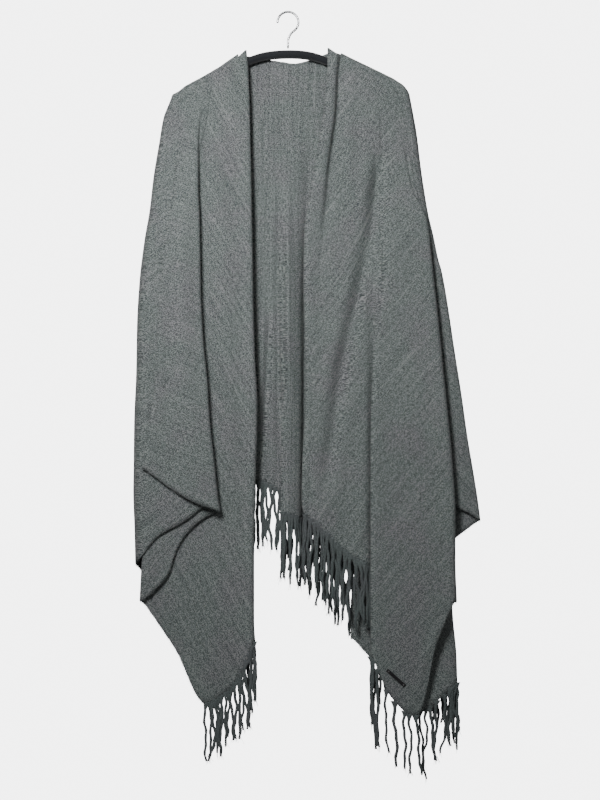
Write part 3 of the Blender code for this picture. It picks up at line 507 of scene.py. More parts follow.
def cross_section(share):
    """One row of the cloth as control points (x, y, depth), with each line's place and each span's layer."""
    controls = []
    middles = {}
    layers = []
    way = 1.0

    def add(at, depth, layer, beside=None):
        hem = 0.0
        if beside:
            other_x, other_y = line_point(beside[5], share)
            hem = (other_y - y) * (at - x) / (other_x - x) * share ** SIDE_HEM
        controls.append((at, on_ridge(at, x, y, share) + hem, depth))
        layers.append(layer)

    for index, (name, before, after, kind, _, points) in enumerate(LINES):
        x, y = line_point(points, share)
        near, far = layer_depth(before, y), layer_depth(after, y)
        middle, half = 0.5 * (near + far), 0.5 * (far - near)
        if kind in ("pleat", "within"):
            first, second = pleat_of[index if kind == "pleat" else max(f for f in folds if f < index)]
            start, stop, laid = pleat_inside(first, second, way, share)
            full = layer_depth(LINES[second][2], y) - layer_depth(LINES[first][1], y)
            lean = PLEAT_LEAN * full * (1.0 - abs(laid))
        if kind == "run":
            middles[name] = len(controls)
            add(x, near, after)
        elif kind == "within":
            ends = [LINES[other][5][-1][0] for other in (first, index, second)]
            part = (ends[1] - ends[0]) / (ends[2] - ends[0])
            middles[name] = len(controls)
            add(start + (stop - start) * part, near + lean * (2.0 * part - 1.0), after)
        elif kind == "side":
            step = max(FOLD_STEP, SIDE_STEP * abs(far - near) / SIDE_DEPTH)
            back_off = step * (1.0 - math.cos(math.radians(SIDE_BEND)))
            bend = half * math.sin(math.radians(SIDE_BEND))
            add(x - way * step, near, before, LINES[index - 1])
            add(x - way * back_off, middle - bend, before, LINES[index - 1])
            middles[name] = len(controls)
            add(x, middle, after)
            add(x - way * back_off, middle + bend, after, LINES[index + 1])
            add(x - way * step, far, after, LINES[index + 1])
            way = -way
        elif kind == "turn":
            add(x - way * FOLD_STEP, near, before)
            middles[name] = len(controls)
            add(x, middle, after)
            add(x - way * FOLD_STEP, far, after)
            way = -way
        elif index == first:
            add(x - way * FOLD_STEP, near, before)
            middles[name] = len(controls)
            add(x, middle - lean / 3.0, after)
            add(start, far - lean, after)
        else:
            add(stop, near + lean, before)
            middles[name] = len(controls)
            add(x, middle + lean / 3.0, after)
            add(x + way * FOLD_STEP, far, after)
    return controls, middles, layers


def through(points, counts):
    """Points on a smooth curve through control points, with a given number of them in each span."""
    p = np.vstack([2 * points[0] - points[1], points, 2 * points[-1] - points[-2]])
    knots = np.concatenate([[0.0], np.cumsum(np.linalg.norm(np.diff(p, axis=0), axis=1) ** 0.5 + 1e-6)])
    made = []
    for span, count in enumerate(counts):
        t0, t1, t2, t3 = knots[span:span + 4]
        t = (t1 + (t2 - t1) * np.arange(count) / count)[:, None]
        p0, p1, p2, p3 = p[span:span + 4]
        a1 = (t1 - t) / (t1 - t0) * p0 + (t - t0) / (t1 - t0) * p1
        a2 = (t2 - t) / (t2 - t1) * p1 + (t - t1) / (t2 - t1) * p2
        a3 = (t3 - t) / (t3 - t2) * p2 + (t - t2) / (t3 - t2) * p3
        b1 = (t2 - t) / (t2 - t0) * a1 + (t - t0) / (t2 - t0) * a2
        b2 = (t3 - t) / (t3 - t1) * a2 + (t - t1) / (t3 - t1) * a3
        made.append((t2 - t) / (t2 - t1) * b1 + (t - t1) / (t2 - t1) * b2)
    made.append(points[-1:])
    return np.vstack(made)


share_of_row = [follow((0.0, 0.12, 1.0), (0.0, 0.09, 1.0), row / (CLOTH_ROWS - 1))
                for row in range(CLOTH_ROWS)]
sections = [cross_section(share) for share in share_of_row]
middles, span_layers = sections[0][1], sections[0][2]
controls = np.array([section[0] for section in sections])
controls[:, :, 2] /= PIXEL
lengths = np.linalg.norm(np.diff(controls, axis=1), axis=2)
steps = [FINE_STEP if layer in FINE_LAYERS else COLUMN_STEP for layer in span_layers]
counts = [max(FOLD_COLUMNS, int(round(length / step))) for length, step in zip(lengths.max(axis=0), steps)]
grid = np.array([through(row, counts) for row in controls])
column_layer = [layer for layer, count in zip(span_layers, counts) for _ in range(count)]
starts = np.concatenate([[0], np.cumsum(counts)])
column_of = {name: int(starts[control]) for name, control in middles.items()}
cloth_width = grid.shape[1]


def crease_push(points, start, stop, crease, half_width, depth):
    """How far each point of some columns is moved forward by a soft crease, in picture points."""
    line = np.array(crease, dtype=float)
    here = points[:, start:stop, :2]
    best = np.full(here.shape[:2], 1e9)
    along = np.zeros(here.shape[:2])
    reached = 0.0
    total = np.linalg.norm(np.diff(line, axis=0), axis=1).sum()
    for a, b in zip(line, line[1:]):
        span = np.linalg.norm(b - a)
        t = np.clip(((here - a) @ (b - a)) / span ** 2, 0.0, 1.0)
        apart = np.linalg.norm(here - a - t[..., None] * (b - a), axis=2)
        nearer = apart < best
        best = np.where(nearer, apart, best)
        along = np.where(nearer, (reached + t * span) / total, along)
        reached += span
    ends = np.clip(np.minimum(along, 1.0 - along) * 4.0, 0.0, 1.0)
    ends = ends * ends * (3.0 - 2.0 * ends)
    push = np.zeros(points.shape[:2])
    push[:, start:stop] = depth * 0.001 / PIXEL * np.exp(-(best / half_width) ** 2) * ends
    return push


for _, first_line, last_line, half_width, depth, crease in CREASES:
    start, stop = sorted((column_of[first_line], column_of[last_line]))
    grid[:, :, 2] += crease_push(grid, start, stop + 1, crease, half_width, depth)

# The wool is never quite flat: a slow swell and a smaller, shorter one run along its threads.
SWELL_DEPTH = 0.0011
SWELL_LONG = (0.75, 26.0, 110.0)
SWELL_SHORT = (0.3, 9.0, 34.0)
SWELL_DRIFT = 0.002


def swell_at(sizes, u, v, drift):
    height, across, along = sizes
    return height * noise.noise((u / across, v / along, drift))


swell = np.zeros(grid.shape[:2])
for row in range(CLOTH_ROWS):
    for column in range(cloth_width):
        x, y = grid[row, column, :2]
        turn = math.radians(GRAIN[column_layer[min(column, cloth_width - 2)]])
        u = x * math.cos(turn) - y * math.sin(turn)
        v = x * math.sin(turn) + y * math.cos(turn)
        swell[row, column] = (swell_at(SWELL_LONG, u, v, SWELL_DRIFT * column)
                              + swell_at(SWELL_SHORT, u, v, 4.0 + SWELL_DRIFT * column))
grid[:, :, 2] += swell * SWELL_DEPTH / PIXEL

# The lower edge wanders a little, and takes the last rows along.
EDGE_WAVES = 0.9
EDGE_PATCH = 5.0
EDGE_ROWS = 4
for column in range(cloth_width):
    x, y = grid[-1, column, :2]
    pull = EDGE_WAVES * noise.noise((x / EDGE_PATCH, y / EDGE_PATCH, 7.0))
    for back in range(EDGE_ROWS):
        grid[-1 - back, column, 1] += pull * (1.0 - back / EDGE_ROWS)

rows_of_points = place(grid[:, :, 0], grid[:, :, 1], grid[:, :, 2] * PIXEL)
positions = [Vector(p) for p in rows_of_points.reshape(-1, 3)]
faces = []
face_layers = []
for row in range(CLOTH_ROWS - 1):
    for column in range(cloth_width - 1):
        first = row * cloth_width + column
        faces.append((first, first + 1, first + cloth_width + 1, first + cloth_width))
        face_layers.append(column_layer[column])


def add_face(corners, layer):
    kept = [corner for index, corner in enumerate(corners) if corner not in corners[:index]]
    if len(kept) > 2:
        faces.append(tuple(kept))
        face_layers.append(layer)


def zip_chains(upper, lower, layer):
    """Triangles between two chains of corners that run the same way, shortest rungs first."""
    i = j = 0
    while i < len(upper) - 1 or j < len(lower) - 1:
        step_upper = j == len(lower) - 1
        if i < len(upper) - 1 and not step_upper:
            across_upper = (positions[upper[i + 1]] - positions[lower[j]]).length
            across_lower = (positions[upper[i]] - positions[lower[j + 1]]).length
            step_upper = across_upper <= across_lower
        if step_upper:
            add_face((upper[i], upper[i + 1], lower[j]), layer)
            i += 1
        else:
            add_face((upper[i], lower[j + 1], lower[j]), layer)
            j += 1


for (front_from, front_to), (back_from, back_to) in SHOULDERS:
    front = list(range(column_of[front_from], column_of[front_to] + 1))
    behind = list(range(column_of[back_from], column_of[back_to] + 1))
    back_x = [grid[0, column, 0] for column in behind]
    back_depth = [grid[0, column, 2] * PIXEL for column in behind]
    if back_x[0] > back_x[-1]:
        back_x, back_depth = back_x[::-1], back_depth[::-1]
    chain = front
    for arc in range(1, 2 * CREST_ARCS):
        turn = math.pi * 0.5 * arc / CREST_ARCS
        over = []
        for column in front:
            x, y, depth = grid[0, column]
            depth *= PIXEL
            if column in behind:
                over.append(column)
                continue
            rise = CREST_RISE * min(1.0, abs(depth - CREST_MIDDLE) / CREST_SPREAD)
            far = depth if arc <= CREST_ARCS else float(np.interp(x, back_x, back_depth))
            lies = CREST_MIDDLE + (far - CREST_MIDDLE) * abs(math.cos(turn))
            over.append(len(positions))
            positions.append(Vector(place(x, y - rise * math.sin(turn), lies)))
        for i in range(len(front) - 1):
            add_face((over[i], over[i + 1], chain[i + 1], chain[i]), column_layer[front[i]])
        chain = over
    zip_chains(chain[::-1], behind, "back")


def corner_normals(positions, faces):
    normals = [Vector() for _ in positions]
    for corners in faces:
        points = [positions[corner] for corner in corners]
        area = Vector()
        for here, after in zip(points, points[1:] + points[:1]):
            area += here.cross(after)
        for corner in corners:
            normals[corner] += area
    return [normal.normalized() for normal in normals]


def grain_place(point, layer):
    """A point's place along the weft and the warp of its layer; depth counts where a side fold turns."""
    turn = math.radians(GRAIN[layer])
    across = point.x + DEPTH_SHARE * point.y
    weft = across * math.cos(turn) + point.z * math.sin(turn)
    warp = across * math.sin(turn) - point.z * math.cos(turn)
    return weft, warp


def finished(name, vertices, faces, finish, weave=None):
    """A mesh piece at the origin, riding on the hanger's body."""
    mesh = bpy.data.meshes.new(name)
    mesh.from_pydata([tuple(vertex) for vertex in vertices], [], faces)
    mesh.validate()
    if weave:
        layer = mesh.uv_layers.new(name="weave")
        layer.data.foreach_set("uv", [value for pair in weave for value in pair])
    mesh.polygons.foreach_set("use_smooth", [True] * len(mesh.polygons))
    mesh.materials.append(finish)
    made = bpy.data.objects.new(name, mesh)
    bpy.context.scene.collection.objects.link(made)
    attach(made, "root")
    return made


normals = corner_normals(positions, faces)
one_side = len(positions)
wall = [p + n * (CLOTH_WALL / 2) for p, n in zip(positions, normals)]
wall += [p - n * (CLOTH_WALL / 2) for p, n in zip(positions, normals)]
solid = [tuple(corners) for corners in faces]
solid += [tuple(corner + one_side for corner in reversed(corners)) for corners in faces]
solid_layers = face_layers + face_layers
edge_pairs = {}
for corners, layer in zip(faces, face_layers):
    for here, after in zip(corners, corners[1:] + corners[:1]):
        edge_pairs[(here, after)] = layer
for (here, after), layer in edge_pairs.items():
    if (after, here) not in edge_pairs:
        solid.append((after, here, here + one_side, after + one_side))
        solid_layers.append(layer)
weave = [grain_place(wall[corner], layer)
         for corners, layer in zip(solid, solid_layers) for corner in corners]


WOOL_DARK = (0.062, 0.078, 0.077)
WOOL_MIDDLE = (0.158, 0.184, 0.182)
WOOL_LIGHT = (0.335, 0.372, 0.355)
WOOL_MAUVE = (1.08, 0.98, 1.04, 1.0)
THREAD_TURNS = 5000.0


def wool(name, threads, shade=0.0):
    """Grey-green heather wool; with threads, its crossed uneven yarns show as streaks and slubs. Without
    threads, shade lowers its whole tone as painted shade.
    """
    made, shader, wire = new_material(name, 0.92, sheen=0.12)
    there = wire.node("TexCoord", output="Object")
    patches = wire.node("TexNoise", {"Vector": there, "Scale": 15.0, "Detail": 3.0, "Roughness": 0.55})
    if threads:
        uv = wire.node("UVMap", uv_map="weave")

        def yarn(across, along, shift, detail):
            moved = wire.node("Mapping", {0: uv, 1: shift, 3: (across, along, 1.0)})
            return wire.node("TexNoise", {"Vector": moved, "Scale": 1.0, "Detail": detail, "Roughness": 0.62},
                             noise_dimensions="2D")

        warp = yarn(880.0, 150.0, (0.0, 0.0, 0.0), 2.0)
        weft = yarn(150.0, 880.0, (3.0, 5.0, 0.0), 2.0)
        fleck = yarn(620.0, 620.0, (8.0, 3.0, 0.0), 2.0)
        streak = yarn(260.0, 7.0, (7.0, 1.0, 0.0), 1.0) * 0.58 + yarn(7.0, 260.0, (2.0, 9.0, 0.0), 1.0) * 0.26
        tone = warp * 1.8 + weft * 1.4 + fleck * 3.6 + streak - 3.32
        slub = yarn(170.0, 5.0, (4.0, 6.0, 0.0), 1.0)
        tone = tone + wire.node("MapRange", {0: slub, 1: 0.7, 2: 0.78, 3: 0.0, 4: 0.3})
        run = wire.node("SeparateXYZ", {0: uv}, output=0) * THREAD_TURNS
        fall = wire.node("SeparateXYZ", {0: uv}, output=1) * THREAD_TURNS
        weft_wave = wire.maths("SINE", run, 0.0)
        warp_wave = wire.maths("SINE", fall, 0.0)
        height = weft_wave * warp_wave * 0.35 + tone
    else:
        fibre = wire.node("TexNoise", {"Vector": there, "Scale": 700.0, "Detail": 3.0, "Roughness": 0.7})
        tone = fibre * 1.6 + (shade - 0.3)
        height = fibre
    ramp = wire.node("ValToRGB", {0: tone}, stops=((0.0, WOOL_DARK), (0.5, WOOL_MIDDLE), (1.0, WOOL_LIGHT)))
    mauve = wire.node("MapRange", {0: patches, 1: 0.42, 2: 0.66, 3: 0.0, 4: 0.9})
    dyed = wire.node("Mix", {0: 1.0, 6: ramp, 7: WOOL_MAUVE}, output=2, data_type="RGBA", blend_type="MULTIPLY")
    tinted = wire.node("Mix", {0: mauve, 6: ramp, 7: dyed}, output=2, data_type="RGBA")
    made.node_tree.links.new(tinted.socket, shader.inputs["Base Color"])
    bump = wire.node("Bump", {"Strength": 0.5, "Distance": 0.0007, "Height": height})
    made.node_tree.links.new(bump.socket, shader.inputs["Normal"])
    return made


woven_wool = wool("woven_wool", threads=True)
ruana_cloth = finished("ruana_cloth", wall, solid, woven_wool, weave)
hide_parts("poncho_cloth")

# The neck's edge: the cut across the back is turned over once and sewn into a narrow rolled hem of the same
# wool. It follows the cloth's own line from one corner of the neck to the other.
NECK_ROLL = (0.0016, 0.0026)
NECK_SIDES = 8
neck_columns = range(column_of["neck_corner_left"], column_of["neck_corner_right"] + 1, 2)
neck_line = [positions[column] - Vector((0.0, 0.0, NECK_ROLL[1] * 0.6)) for column in neck_columns]


def tube(centres, half_depth, half_height, sides):
    """Corners and faces of a closed round bar along a path."""
    side = Vector((0.0, 1.0, 0.0))
    vertices, faces = [], []
    for index, centre in enumerate(centres):
        along = (centres[min(index + 1, len(centres) - 1)] - centres[max(index - 1, 0)]).normalized()
        across = (side - along * side.dot(along)).normalized()
        up = across.cross(along)
        for number in range(sides):
            angle = 2.0 * math.pi * number / sides
            aside = across * half_depth * math.cos(angle) + up * half_height * math.sin(angle)
            vertices.append(centre + aside)
    for index in range(len(centres) - 1):
        for number in range(sides):
            here, after = index * sides, (index + 1) * sides
            turn = (number + 1) % sides
            faces.append((here + number, here + turn, after + turn, after + number))
    faces.append(tuple(reversed(range(sides))))
    faces.append(tuple((len(centres) - 1) * sides + number for number in range(sides)))
    return vertices, faces


def facing_out(piece):
    deselect()
    bpy.context.view_layer.objects.active = piece
    piece.select_set(True)
    bpy.ops.object.mode_set(mode="EDIT")
    bpy.ops.mesh.select_all(action="SELECT")
    bpy.ops.mesh.normals_make_consistent(inside=False)
    bpy.ops.object.mode_set(mode="OBJECT")


plain_wool = wool("plain_wool", threads=False)
neck_hem = finished("neck_hem", *tube(neck_line, *NECK_ROLL, NECK_SIDES), plain_wool)
facing_out(neck_hem)

# The frayed edges: both side edges of the cloth are cut and left raw, so the weft ends stand out of them as
# short lashes.
LASH_EVERY = 0.0011
LASH_LENGTHS = (0.0018, 0.0062)
LASH_WIDTH = 0.00036
LASH_ROOT = 0.0006
THREE_CORNERS = (0.0, 2.1, 4.2)
LASH_SEED = 3
RAW_EDGES = (("corner_left", "back_corner_left"), ("corner_back_right", "corner_right"))
lash_luck = random.Random(LASH_SEED)
lash_vertices, lash_faces = [], []
edge_start = (CLOTH_ROWS - 1) * cloth_width
for edge_from, edge_to in RAW_EDGES:
    for column in range(column_of[edge_from], column_of[edge_to]):
        here, after = positions[edge_start + column], positions[edge_start + column + 1]
        above = positions[edge_start + column - cloth_width]
        along = after - here
        lashes = along.length / LASH_EVERY
        lashes = int(lashes) + (lash_luck.random() < lashes % 1.0)
        out = normals[edge_start + column]
        down = here - above
        level = along.normalized()
        down = (down - level * down.dot(level)).normalized()
        for _ in range(lashes):
            root = here.lerp(after, lash_luck.random()) + out * lash_luck.uniform(-0.7, 0.7) * CLOTH_WALL / 2
            way = (down + level * lash_luck.gauss(0.0, 0.5) + out * lash_luck.gauss(0.0, 0.3)).normalized()
            droop = Vector((0.0, 0.0, -lash_luck.uniform(0.1, 0.7)))
            length = lash_luck.uniform(*LASH_LENGTHS) * lash_luck.uniform(0.5, 1.0)
            bend = (way + droop + level * lash_luck.gauss(0.0, 0.5)).normalized()
            first = len(lash_vertices)
            side = way.cross(out).normalized()
            for centre, size in ((root - way * LASH_ROOT, 1.0), (root + way * length * 0.5, 0.8)):
                for angle in THREE_CORNERS:
                    aside = side * math.cos(angle) + out * math.sin(angle)
                    lash_vertices.append(centre + aside * (LASH_WIDTH * 0.5 * size))
            lash_vertices.append(root + way * length * 0.5 + bend * length * 0.5)
            for number in range(3):
                turn = (number + 1) % 3
                lash_faces.append((first + number, first + turn, first + 3 + turn, first + 3 + number))
                lash_faces.append((first + 3 + number, first + 3 + turn, first + 6))
            lash_faces.append((first + 2, first + 1, first))
frayed_edges = finished("frayed_edges", lash_vertices, lash_faces, plain_wool)
facing_out(frayed_edges)

# The fringes: the warp ends below the last weft thread, gathered in small bunches and twisted into soft
# strands that hang down, waver, lean together in places and open into loose fibres at their ends.
STRAND_HALF = 0.0028
STRAND_SIDES = 8
STRAND_RINGS = 34
STRAND_TURNS = 7.5
GATHER = 0.013
GATHER_SPREAD = 1.7
PLY_DEPTH = 0.16
TIP_FROM = 0.85
TIP_TAPER = 0.35
TUFT_HALF = 0.00045
TUFT_COUNTS = (4, 7)
TUFT_REACHES = (0.007, 0.014)
FRINGE_LENGTHS = (0.098, 0.122)

# The strands that hang clear of the cloth: where each leaves the edge, where and how low it ends, and how
# far it bows aside on its way, in picture points.
LEFT_STRANDS = (
    (206.3, 206.6, 761, -1.5), (208.4, 208.3, 761, 3.0), (211.6, 210.8, 759, 3.0), (215, 220, 756.6, 0.5),
    (218.5, 216.6, 753, 1.5), (221.5, 220, 746, 1.0), (225, 225, 746.6, 0.7), (228, 227, 737, 1.0),
    (231.6, 234, 740, -1.0), (235, 235, 739, 0.5), (238, 239, 739, 1.5), (241, 243, 730, 0.5),
    (243.5, 248, 729, -1.0), (246.6, 251, 727.5, -1.5), (249, 251, 713, 1.0), (251.6, 255, 701.6, 0.0),
    (253.4, 254.6, 701, 1.2))
RIGHT_STRANDS = (
    (371.8, 376.3, 749, -1.5), (373, 378, 746, -2.5), (378, 378.5, 747, -1.0), (387, 389, 753, -2.5),
    (395, 397, 767, -0.5), (405, 406, 769, -1.0), (409.3, 410, 774, 1.0), (416, 420.5, 775, 0.5))
RETURN_STRANDS = (
    (420.5, 425.5, 779, -1.0), (426.3, 424, 770, 0.5), (430, 434, 760, 0.5), (436.8, 435.5, 761, -1.0),
    (444, 441, 753, 2.5), (450.8, 449.7, 746, -0.5), (453, 454.6, 737, -1.5), (455.2, 458.8, 732, -2.5),
    (456.6, 458, 730, 0.5))
# Each fringe: the node it stands for, the stretch of edge with the strands above, and the rest of the edge,
# where the strands hang in rows.
FRINGE_PARTS = (
    ("fringe_left", "fringe_front_left", ("edge_left", "corner_left"), LEFT_STRANDS,
     ("slit_left", "edge_left"), 0.0070, 11),
    ("fringe_behind", "fringe_back", ("return_fold", "corner_back_right"), RETURN_STRANDS,
     ("back_corner_left", "return_fold"), 0.0060, 5),
    ("fringe_right", "fringe_front_right", ("corner_right", "pleat_edge"), RIGHT_STRANDS,
     ("pleat_edge", "slit_right"), 0.0056, 8),
)

# The fringes' wool is the cloth's own wool painted darker: painted shade for the strands hanging in the cloth's
# shadow.
shaded_fringe_wool = wool("shaded_fringe_wool", threads=False, shade=-0.3)


def edge_between(first_line, last_line):
    first, last = sorted((column_of[first_line], column_of[last_line]))
    return [positions[edge_start + column] for column in range(first, last + 1)]


def picture_of(point):
    nearer = 1.0 + point.y / VIEW_DISTANCE
    return ((point.x / PIXEL - (VIEW_X - HELD_X)) / nearer + VIEW_X,
            VIEW_Y - (point.z / PIXEL + VIEW_Y - HELD_Y) / nearer)


def add_strand(root, level, drift, length, bow, luck, vertices, faces):
    """One twisted strand: it gathers below the hem, hangs, wavers and opens into loose fibres."""
    out = Vector((level.y, -level.x, 0.0))
    phases = [luck.uniform(0.0, 6.3) for _ in range(4)]
    waver = luck.uniform(0.0008, 0.0026)
    spin = luck.uniform(0.0, 3.1)
    thick = STRAND_HALF * luck.uniform(0.85, 1.15)
    start = len(vertices)
    for ring in range(STRAND_RINGS + 1):
        share = ring / STRAND_RINGS
        gathered = min(1.0, length * share / GATHER)
        swing = waver * gathered
        eased = share * share * (3.0 - 2.0 * share)
        centre = root - Vector((0.0, 0.0, length * share - 0.002 * (1.0 - gathered)))
        wander = swing * (math.sin(phases[0] + share * 9.0) + 0.4 * math.sin(phases[1] + share * 23.0))
        centre += level * (wander + drift * eased + bow * math.sin(math.pi * share))
        centre += out * (swing * 0.7 * math.sin(phases[2] + share * 8.0))
        ending = 1.0 - TIP_TAPER * max(0.0, share - TIP_FROM) / (1.0 - TIP_FROM)
        wide = thick * (1.0 + GATHER_SPREAD * (1.0 - gathered) ** 2) * ending
        flat = thick * (0.45 + 0.55 * gathered) * ending
        twist = spin + share * STRAND_TURNS * math.pi * gathered
        for number in range(STRAND_SIDES):
            angle = 2.0 * math.pi * number / STRAND_SIDES
            ply = 1.0 - PLY_DEPTH + PLY_DEPTH * abs(math.cos(angle - twist))
            aside = level * (wide * ply * math.cos(angle)) + out * (flat * ply * math.sin(angle))
            vertices.append(centre + aside)
    for ring in range(STRAND_RINGS):
        for number in range(STRAND_SIDES):
            turn = (number + 1) % STRAND_SIDES
            here = start + ring * STRAND_SIDES
            after = here + STRAND_SIDES
            faces.append((here + number, here + turn, after + turn, after + number))
    faces.append(tuple(start + number for number in reversed(range(STRAND_SIDES))))
    faces.append(tuple(start + STRAND_RINGS * STRAND_SIDES + number for number in range(STRAND_SIDES)))
    for _ in range(luck.randint(*TUFT_COUNTS)):
        first = len(vertices)
        tuft = centre + Vector((0.0, 0.0, luck.uniform(0.002, 0.012)))
        splay = level * luck.gauss(0.0, 0.0026) + out * luck.gauss(0.0, 0.0018)
        reach = luck.uniform(*TUFT_REACHES)
        for step in range(3):
            middle = tuft + splay * (0.25 + step * 0.6) - Vector((0.0, 0.0, reach * step / 2.0))
            for angle in THREE_CORNERS:
                size = TUFT_HALF * (1.0 - 0.3 * step)
                vertices.append(middle + level * (size * math.cos(angle)) + out * (size * math.sin(angle)))
        for step in range(2):
            for number in range(3):
                turn = (number + 1) % 3
                here = first + 3 * step
                faces.append((here + number, here + turn, here + 3 + turn, here + 3 + number))
        faces.append((first + 2, first + 1, first))
        faces.append((first + 6, first + 7, first + 8))


for name, node, clear_edge, strands, row_edge, pitch, seed in FRINGE_PARTS:
    luck = random.Random(seed)
    fringe_vertices, fringe_faces = [], []
    edge = edge_between(*clear_edge)
    seen_edge = [picture_of(point) for point in edge]
    for root_x, end_x, end_y, bow in strands:
        spans = [i for i in range(len(edge) - 1)
                 if (seen_edge[i][0] - root_x) * (seen_edge[i + 1][0] - root_x) <= 0.0]
        span = spans[0] if spans else min(range(len(edge) - 1), key=lambda i: abs(seen_edge[i][0] - root_x))
        wide_span = seen_edge[span + 1][0] - seen_edge[span][0]
        t = min(max((root_x - seen_edge[span][0]) / wide_span, 0.0), 1.0) if abs(wide_span) > 1e-6 else 0.5
        root = edge[span].lerp(edge[span + 1], t)
        end = place(end_x, end_y, -root.y)
        add_strand(root, Vector((1.0, 0.0, 0.0)), end[0] - root.x, root.z - end[2], bow * PIXEL, luck,
                   fringe_vertices, fringe_faces)
    edge = edge_between(*row_edge)
    travelled = 0.0
    wanted = 0.5 * pitch
    lean = 0.0
    number = 0
    for here, after in zip(edge, edge[1:]):
        level_step = math.hypot(after.x - here.x, after.y - here.y)
        while travelled + level_step > wanted:
            root = here.lerp(after, (wanted - travelled) / max(level_step, 1e-9))
            level = Vector((after.x - here.x, after.y - here.y, 0.0)).normalized()
            if number % 2 == 0:
                lean = luck.uniform(0.1, 0.6) * pitch * (luck.random() < 0.7)
            drift = lean if number % 2 == 0 else -lean
            add_strand(root, level, drift, luck.uniform(*FRINGE_LENGTHS), luck.gauss(0.0, 0.001), luck,
                       fringe_vertices, fringe_faces)
            number += 1
            wanted += pitch * luck.uniform(0.75, 1.25)
        travelled += level_step
    fringe = finished(name, fringe_vertices, fringe_faces, shaded_fringe_wool)
    facing_out(fringe)
    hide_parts(node)

# The bar tag: a bare black metal bar at the right front's corner, held by two small bright rivets. It is
# stamped from flat stock, so its edges are a little rounded, and it is brushed and lacquered.
TAG_LEAN = math.radians(-40.0)


def worn_finish(name, metallic, coat, lean, stretch, detail, stops, roughness):
    """A hard finish whose fine scratches run one way; roughness is its lowest value and how far it varies."""
    made, shader, wire = new_material(name, roughness[0], metallic, coat=coat)
    there = wire.node("TexCoord", output="Object")
    turned = wire.node("Mapping", {0: there, 2: (0.0, lean, 0.0), 3: stretch})
    scratches = wire.node("TexNoise", {"Vector": turned, "Scale": 1.0, "Detail": detail})
    colour = wire.node("ValToRGB", {0: scratches}, stops=stops)
    wire.tree.links.new(colour.socket, shader.inputs["Base Color"])
    wire.tree.links.new((scratches * roughness[1] + roughness[0]).socket, shader.inputs["Roughness"])
    return made


brushed_black = worn_finish("brushed_black", 0.0, 0.3, TAG_LEAN, (60.0, 900.0, 1800.0), 4.0,
                            ((0.3, (0.006, 0.006, 0.007)), (0.8, (0.028, 0.028, 0.03))), (0.25, 0.3))
rivet_steel = worn_finish("rivet_steel", 1.0, 0.0, 0.0, (900.0, 900.0, 900.0), 3.0,
                          ((0.2, (0.5, 0.5, 0.51)), (0.8, (0.72, 0.72, 0.73))), (0.12, 0.3))
for node, finish in (("bar_tag", brushed_black), ("tag_rivet_upper", rivet_steel),
                     ("tag_rivet_lower", rivet_steel)):
    bpy.data.objects[node].material_slots[0].material = finish

# The hanger: two sloping arms of black flocked plastic in one moulding, drawn in at both ends, and a bright
# wire hook bent round and set into its middle. It holds the cloth and hangs by the hook.
ARM_TOP = ((180, 97.5), (190, 91), (205, 82.2), (220, 73.2), (234, 65), (246, 58), (256, 54), (268, 51),
           (288, 49.5), (306, 50.5), (318, 53.5), (330, 58), (344, 64), (360, 71), (376, 78), (390, 84.8),
           (401, 92))
ARM_HALF = 0.0078
ARM_FLAT = 0.75
ARM_END = 0.5
ARM_SIDES = 12
HOOK_RADIUS = 0.018
HOOK_FROM, HOOK_TO = -55.0, 185.0
WIRE_HALF = 0.002
WIRE_SIDES = 12
HOOK_STEPS = 30
BEND_STEPS = 8


def start_disk(name, centre, radius, sides, turned, scale=(1.0, 1.0, 1.0)):
    """A flat disk to pull a bar from, with its place applied, all selected in edit mode."""
    deselect()
    bpy.ops.mesh.primitive_circle_add(vertices=sides, radius=radius, fill_type="NGON", location=centre,
                                      rotation=(0.0, turned, 0.0), scale=scale)
    made = bpy.context.object
    made.name = made.data.name = name
    bpy.ops.object.transform_apply(location=True, rotation=True, scale=True)
    bpy.ops.object.mode_set(mode="EDIT")
    bpy.ops.mesh.select_all(action="SELECT")
    return made


def finish_bar(bar, finish, levels):
    """Ends the editing: faces out, smooth, subdivided, with its material and its body."""
    bpy.ops.mesh.select_all(action="SELECT")
    bpy.ops.mesh.remove_doubles(threshold=0.00001)
    bpy.ops.mesh.normals_make_consistent(inside=False)
    bpy.ops.object.mode_set(mode="OBJECT")
    bpy.ops.object.shade_smooth()
    rounding = bar.modifiers.new("rounding", "SUBSURF")
    rounding.levels = rounding.render_levels = levels
    bpy.ops.object.modifier_apply(modifier=rounding.name)
    bar.data.materials.append(finish)
    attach(bar, "root")


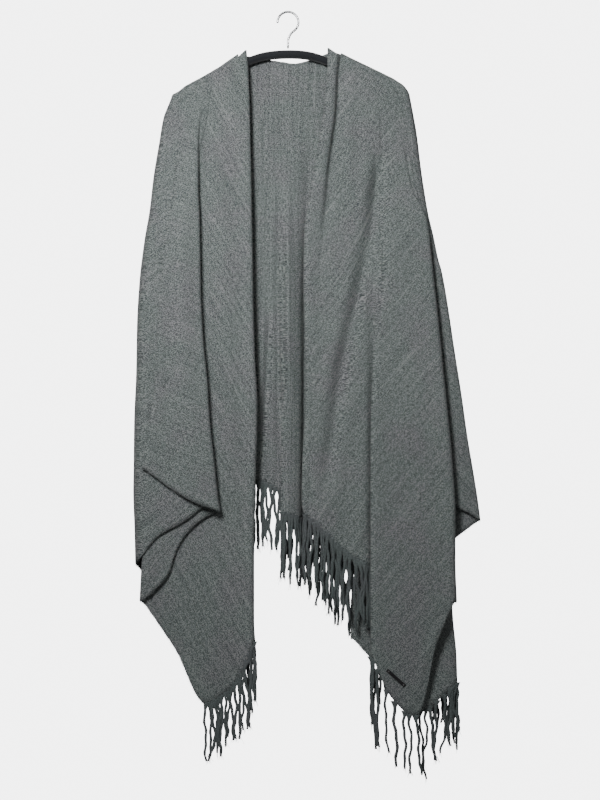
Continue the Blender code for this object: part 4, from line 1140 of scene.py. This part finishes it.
flocked, shader, wire = new_material("flocked_black", 0.85, sheen=0.4)
there = wire.node("TexCoord", output="Object")
flock = wire.node("TexNoise", {"Vector": there, "Scale": 1600.0, "Detail": 3.0, "Roughness": 0.7})
rubbed = wire.node("TexNoise", {"Vector": there, "Scale": 22.0, "Detail": 4.0})
pile = wire.node("ValToRGB", {0: flock * 0.6 + rubbed * 0.5}, stops=(
    (0.3, (0.004, 0.005, 0.007)), (0.8, (0.016, 0.02, 0.026))))
wire.tree.links.new(pile.socket, shader.inputs["Base Color"])
fuzz = wire.node("Bump", {"Strength": 0.5, "Distance": 0.0004, "Height": flock})
wire.tree.links.new(fuzz.socket, shader.inputs["Normal"])
arm_line = [Vector(place(x, y, 0.0)) - Vector((0.0, 0.0, ARM_HALF)) for x, y in ARM_TOP]
arms = start_disk("hanger_moulding", arm_line[0], ARM_HALF * ARM_END, ARM_SIDES, math.radians(90.0),
                  (1.0, ARM_FLAT, 1.0))
for number, (here, after) in enumerate(zip(arm_line, arm_line[1:])):
    bpy.ops.mesh.extrude_region_move(TRANSFORM_OT_translate={"value": after - here})
    if number == 0:
        bpy.ops.transform.resize(value=(1.0, 1.0 / ARM_END, 1.0 / ARM_END), center_override=after)
    if number == len(arm_line) - 2:
        bpy.ops.transform.resize(value=(1.0, ARM_END, ARM_END), center_override=after)
finish_bar(arms, flocked, 2)
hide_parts("hanger_arms")

wire_steel = worn_finish("wire_steel", 1.0, 0.0, 0.0, (900.0, 900.0, 60.0), 3.0,
                         ((0.2, (0.5, 0.51, 0.52)), (0.8, (0.7, 0.71, 0.72))), (0.12, 0.25))
ring = Vector((0.0, 0.0, WIRE_HALF - HOOK_RADIUS))
stem_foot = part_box("hanger_hook")[0].z
tip_angle, neck_angle = math.radians(HOOK_TO), math.radians(HOOK_FROM)
tip = ring + Vector((math.cos(tip_angle), 0.0, math.sin(tip_angle))) * HOOK_RADIUS
hook = start_disk("wire_hook", tip, WIRE_HALF, WIRE_SIDES, math.pi - tip_angle)
bpy.ops.mesh.spin(steps=HOOK_STEPS, angle=neck_angle - tip_angle, center=ring, axis=(0.0, 1.0, 0.0))
neck = ring + Vector((math.cos(neck_angle), 0.0, math.sin(neck_angle))) * HOOK_RADIUS
bend_radius = neck.x / (1.0 - math.cos(neck_angle))
bend_centre = neck + (neck - ring).normalized() * bend_radius
bpy.ops.mesh.spin(steps=BEND_STEPS, angle=-neck_angle, center=bend_centre, axis=(0.0, 1.0, 0.0))
bend_foot = bend_centre.z
bpy.ops.mesh.extrude_region_move(TRANSFORM_OT_translate={"value": (0.0, 0.0, stem_foot - bend_foot)})
finish_bar(hook, wire_steel, 1)
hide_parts("hanger_hook")
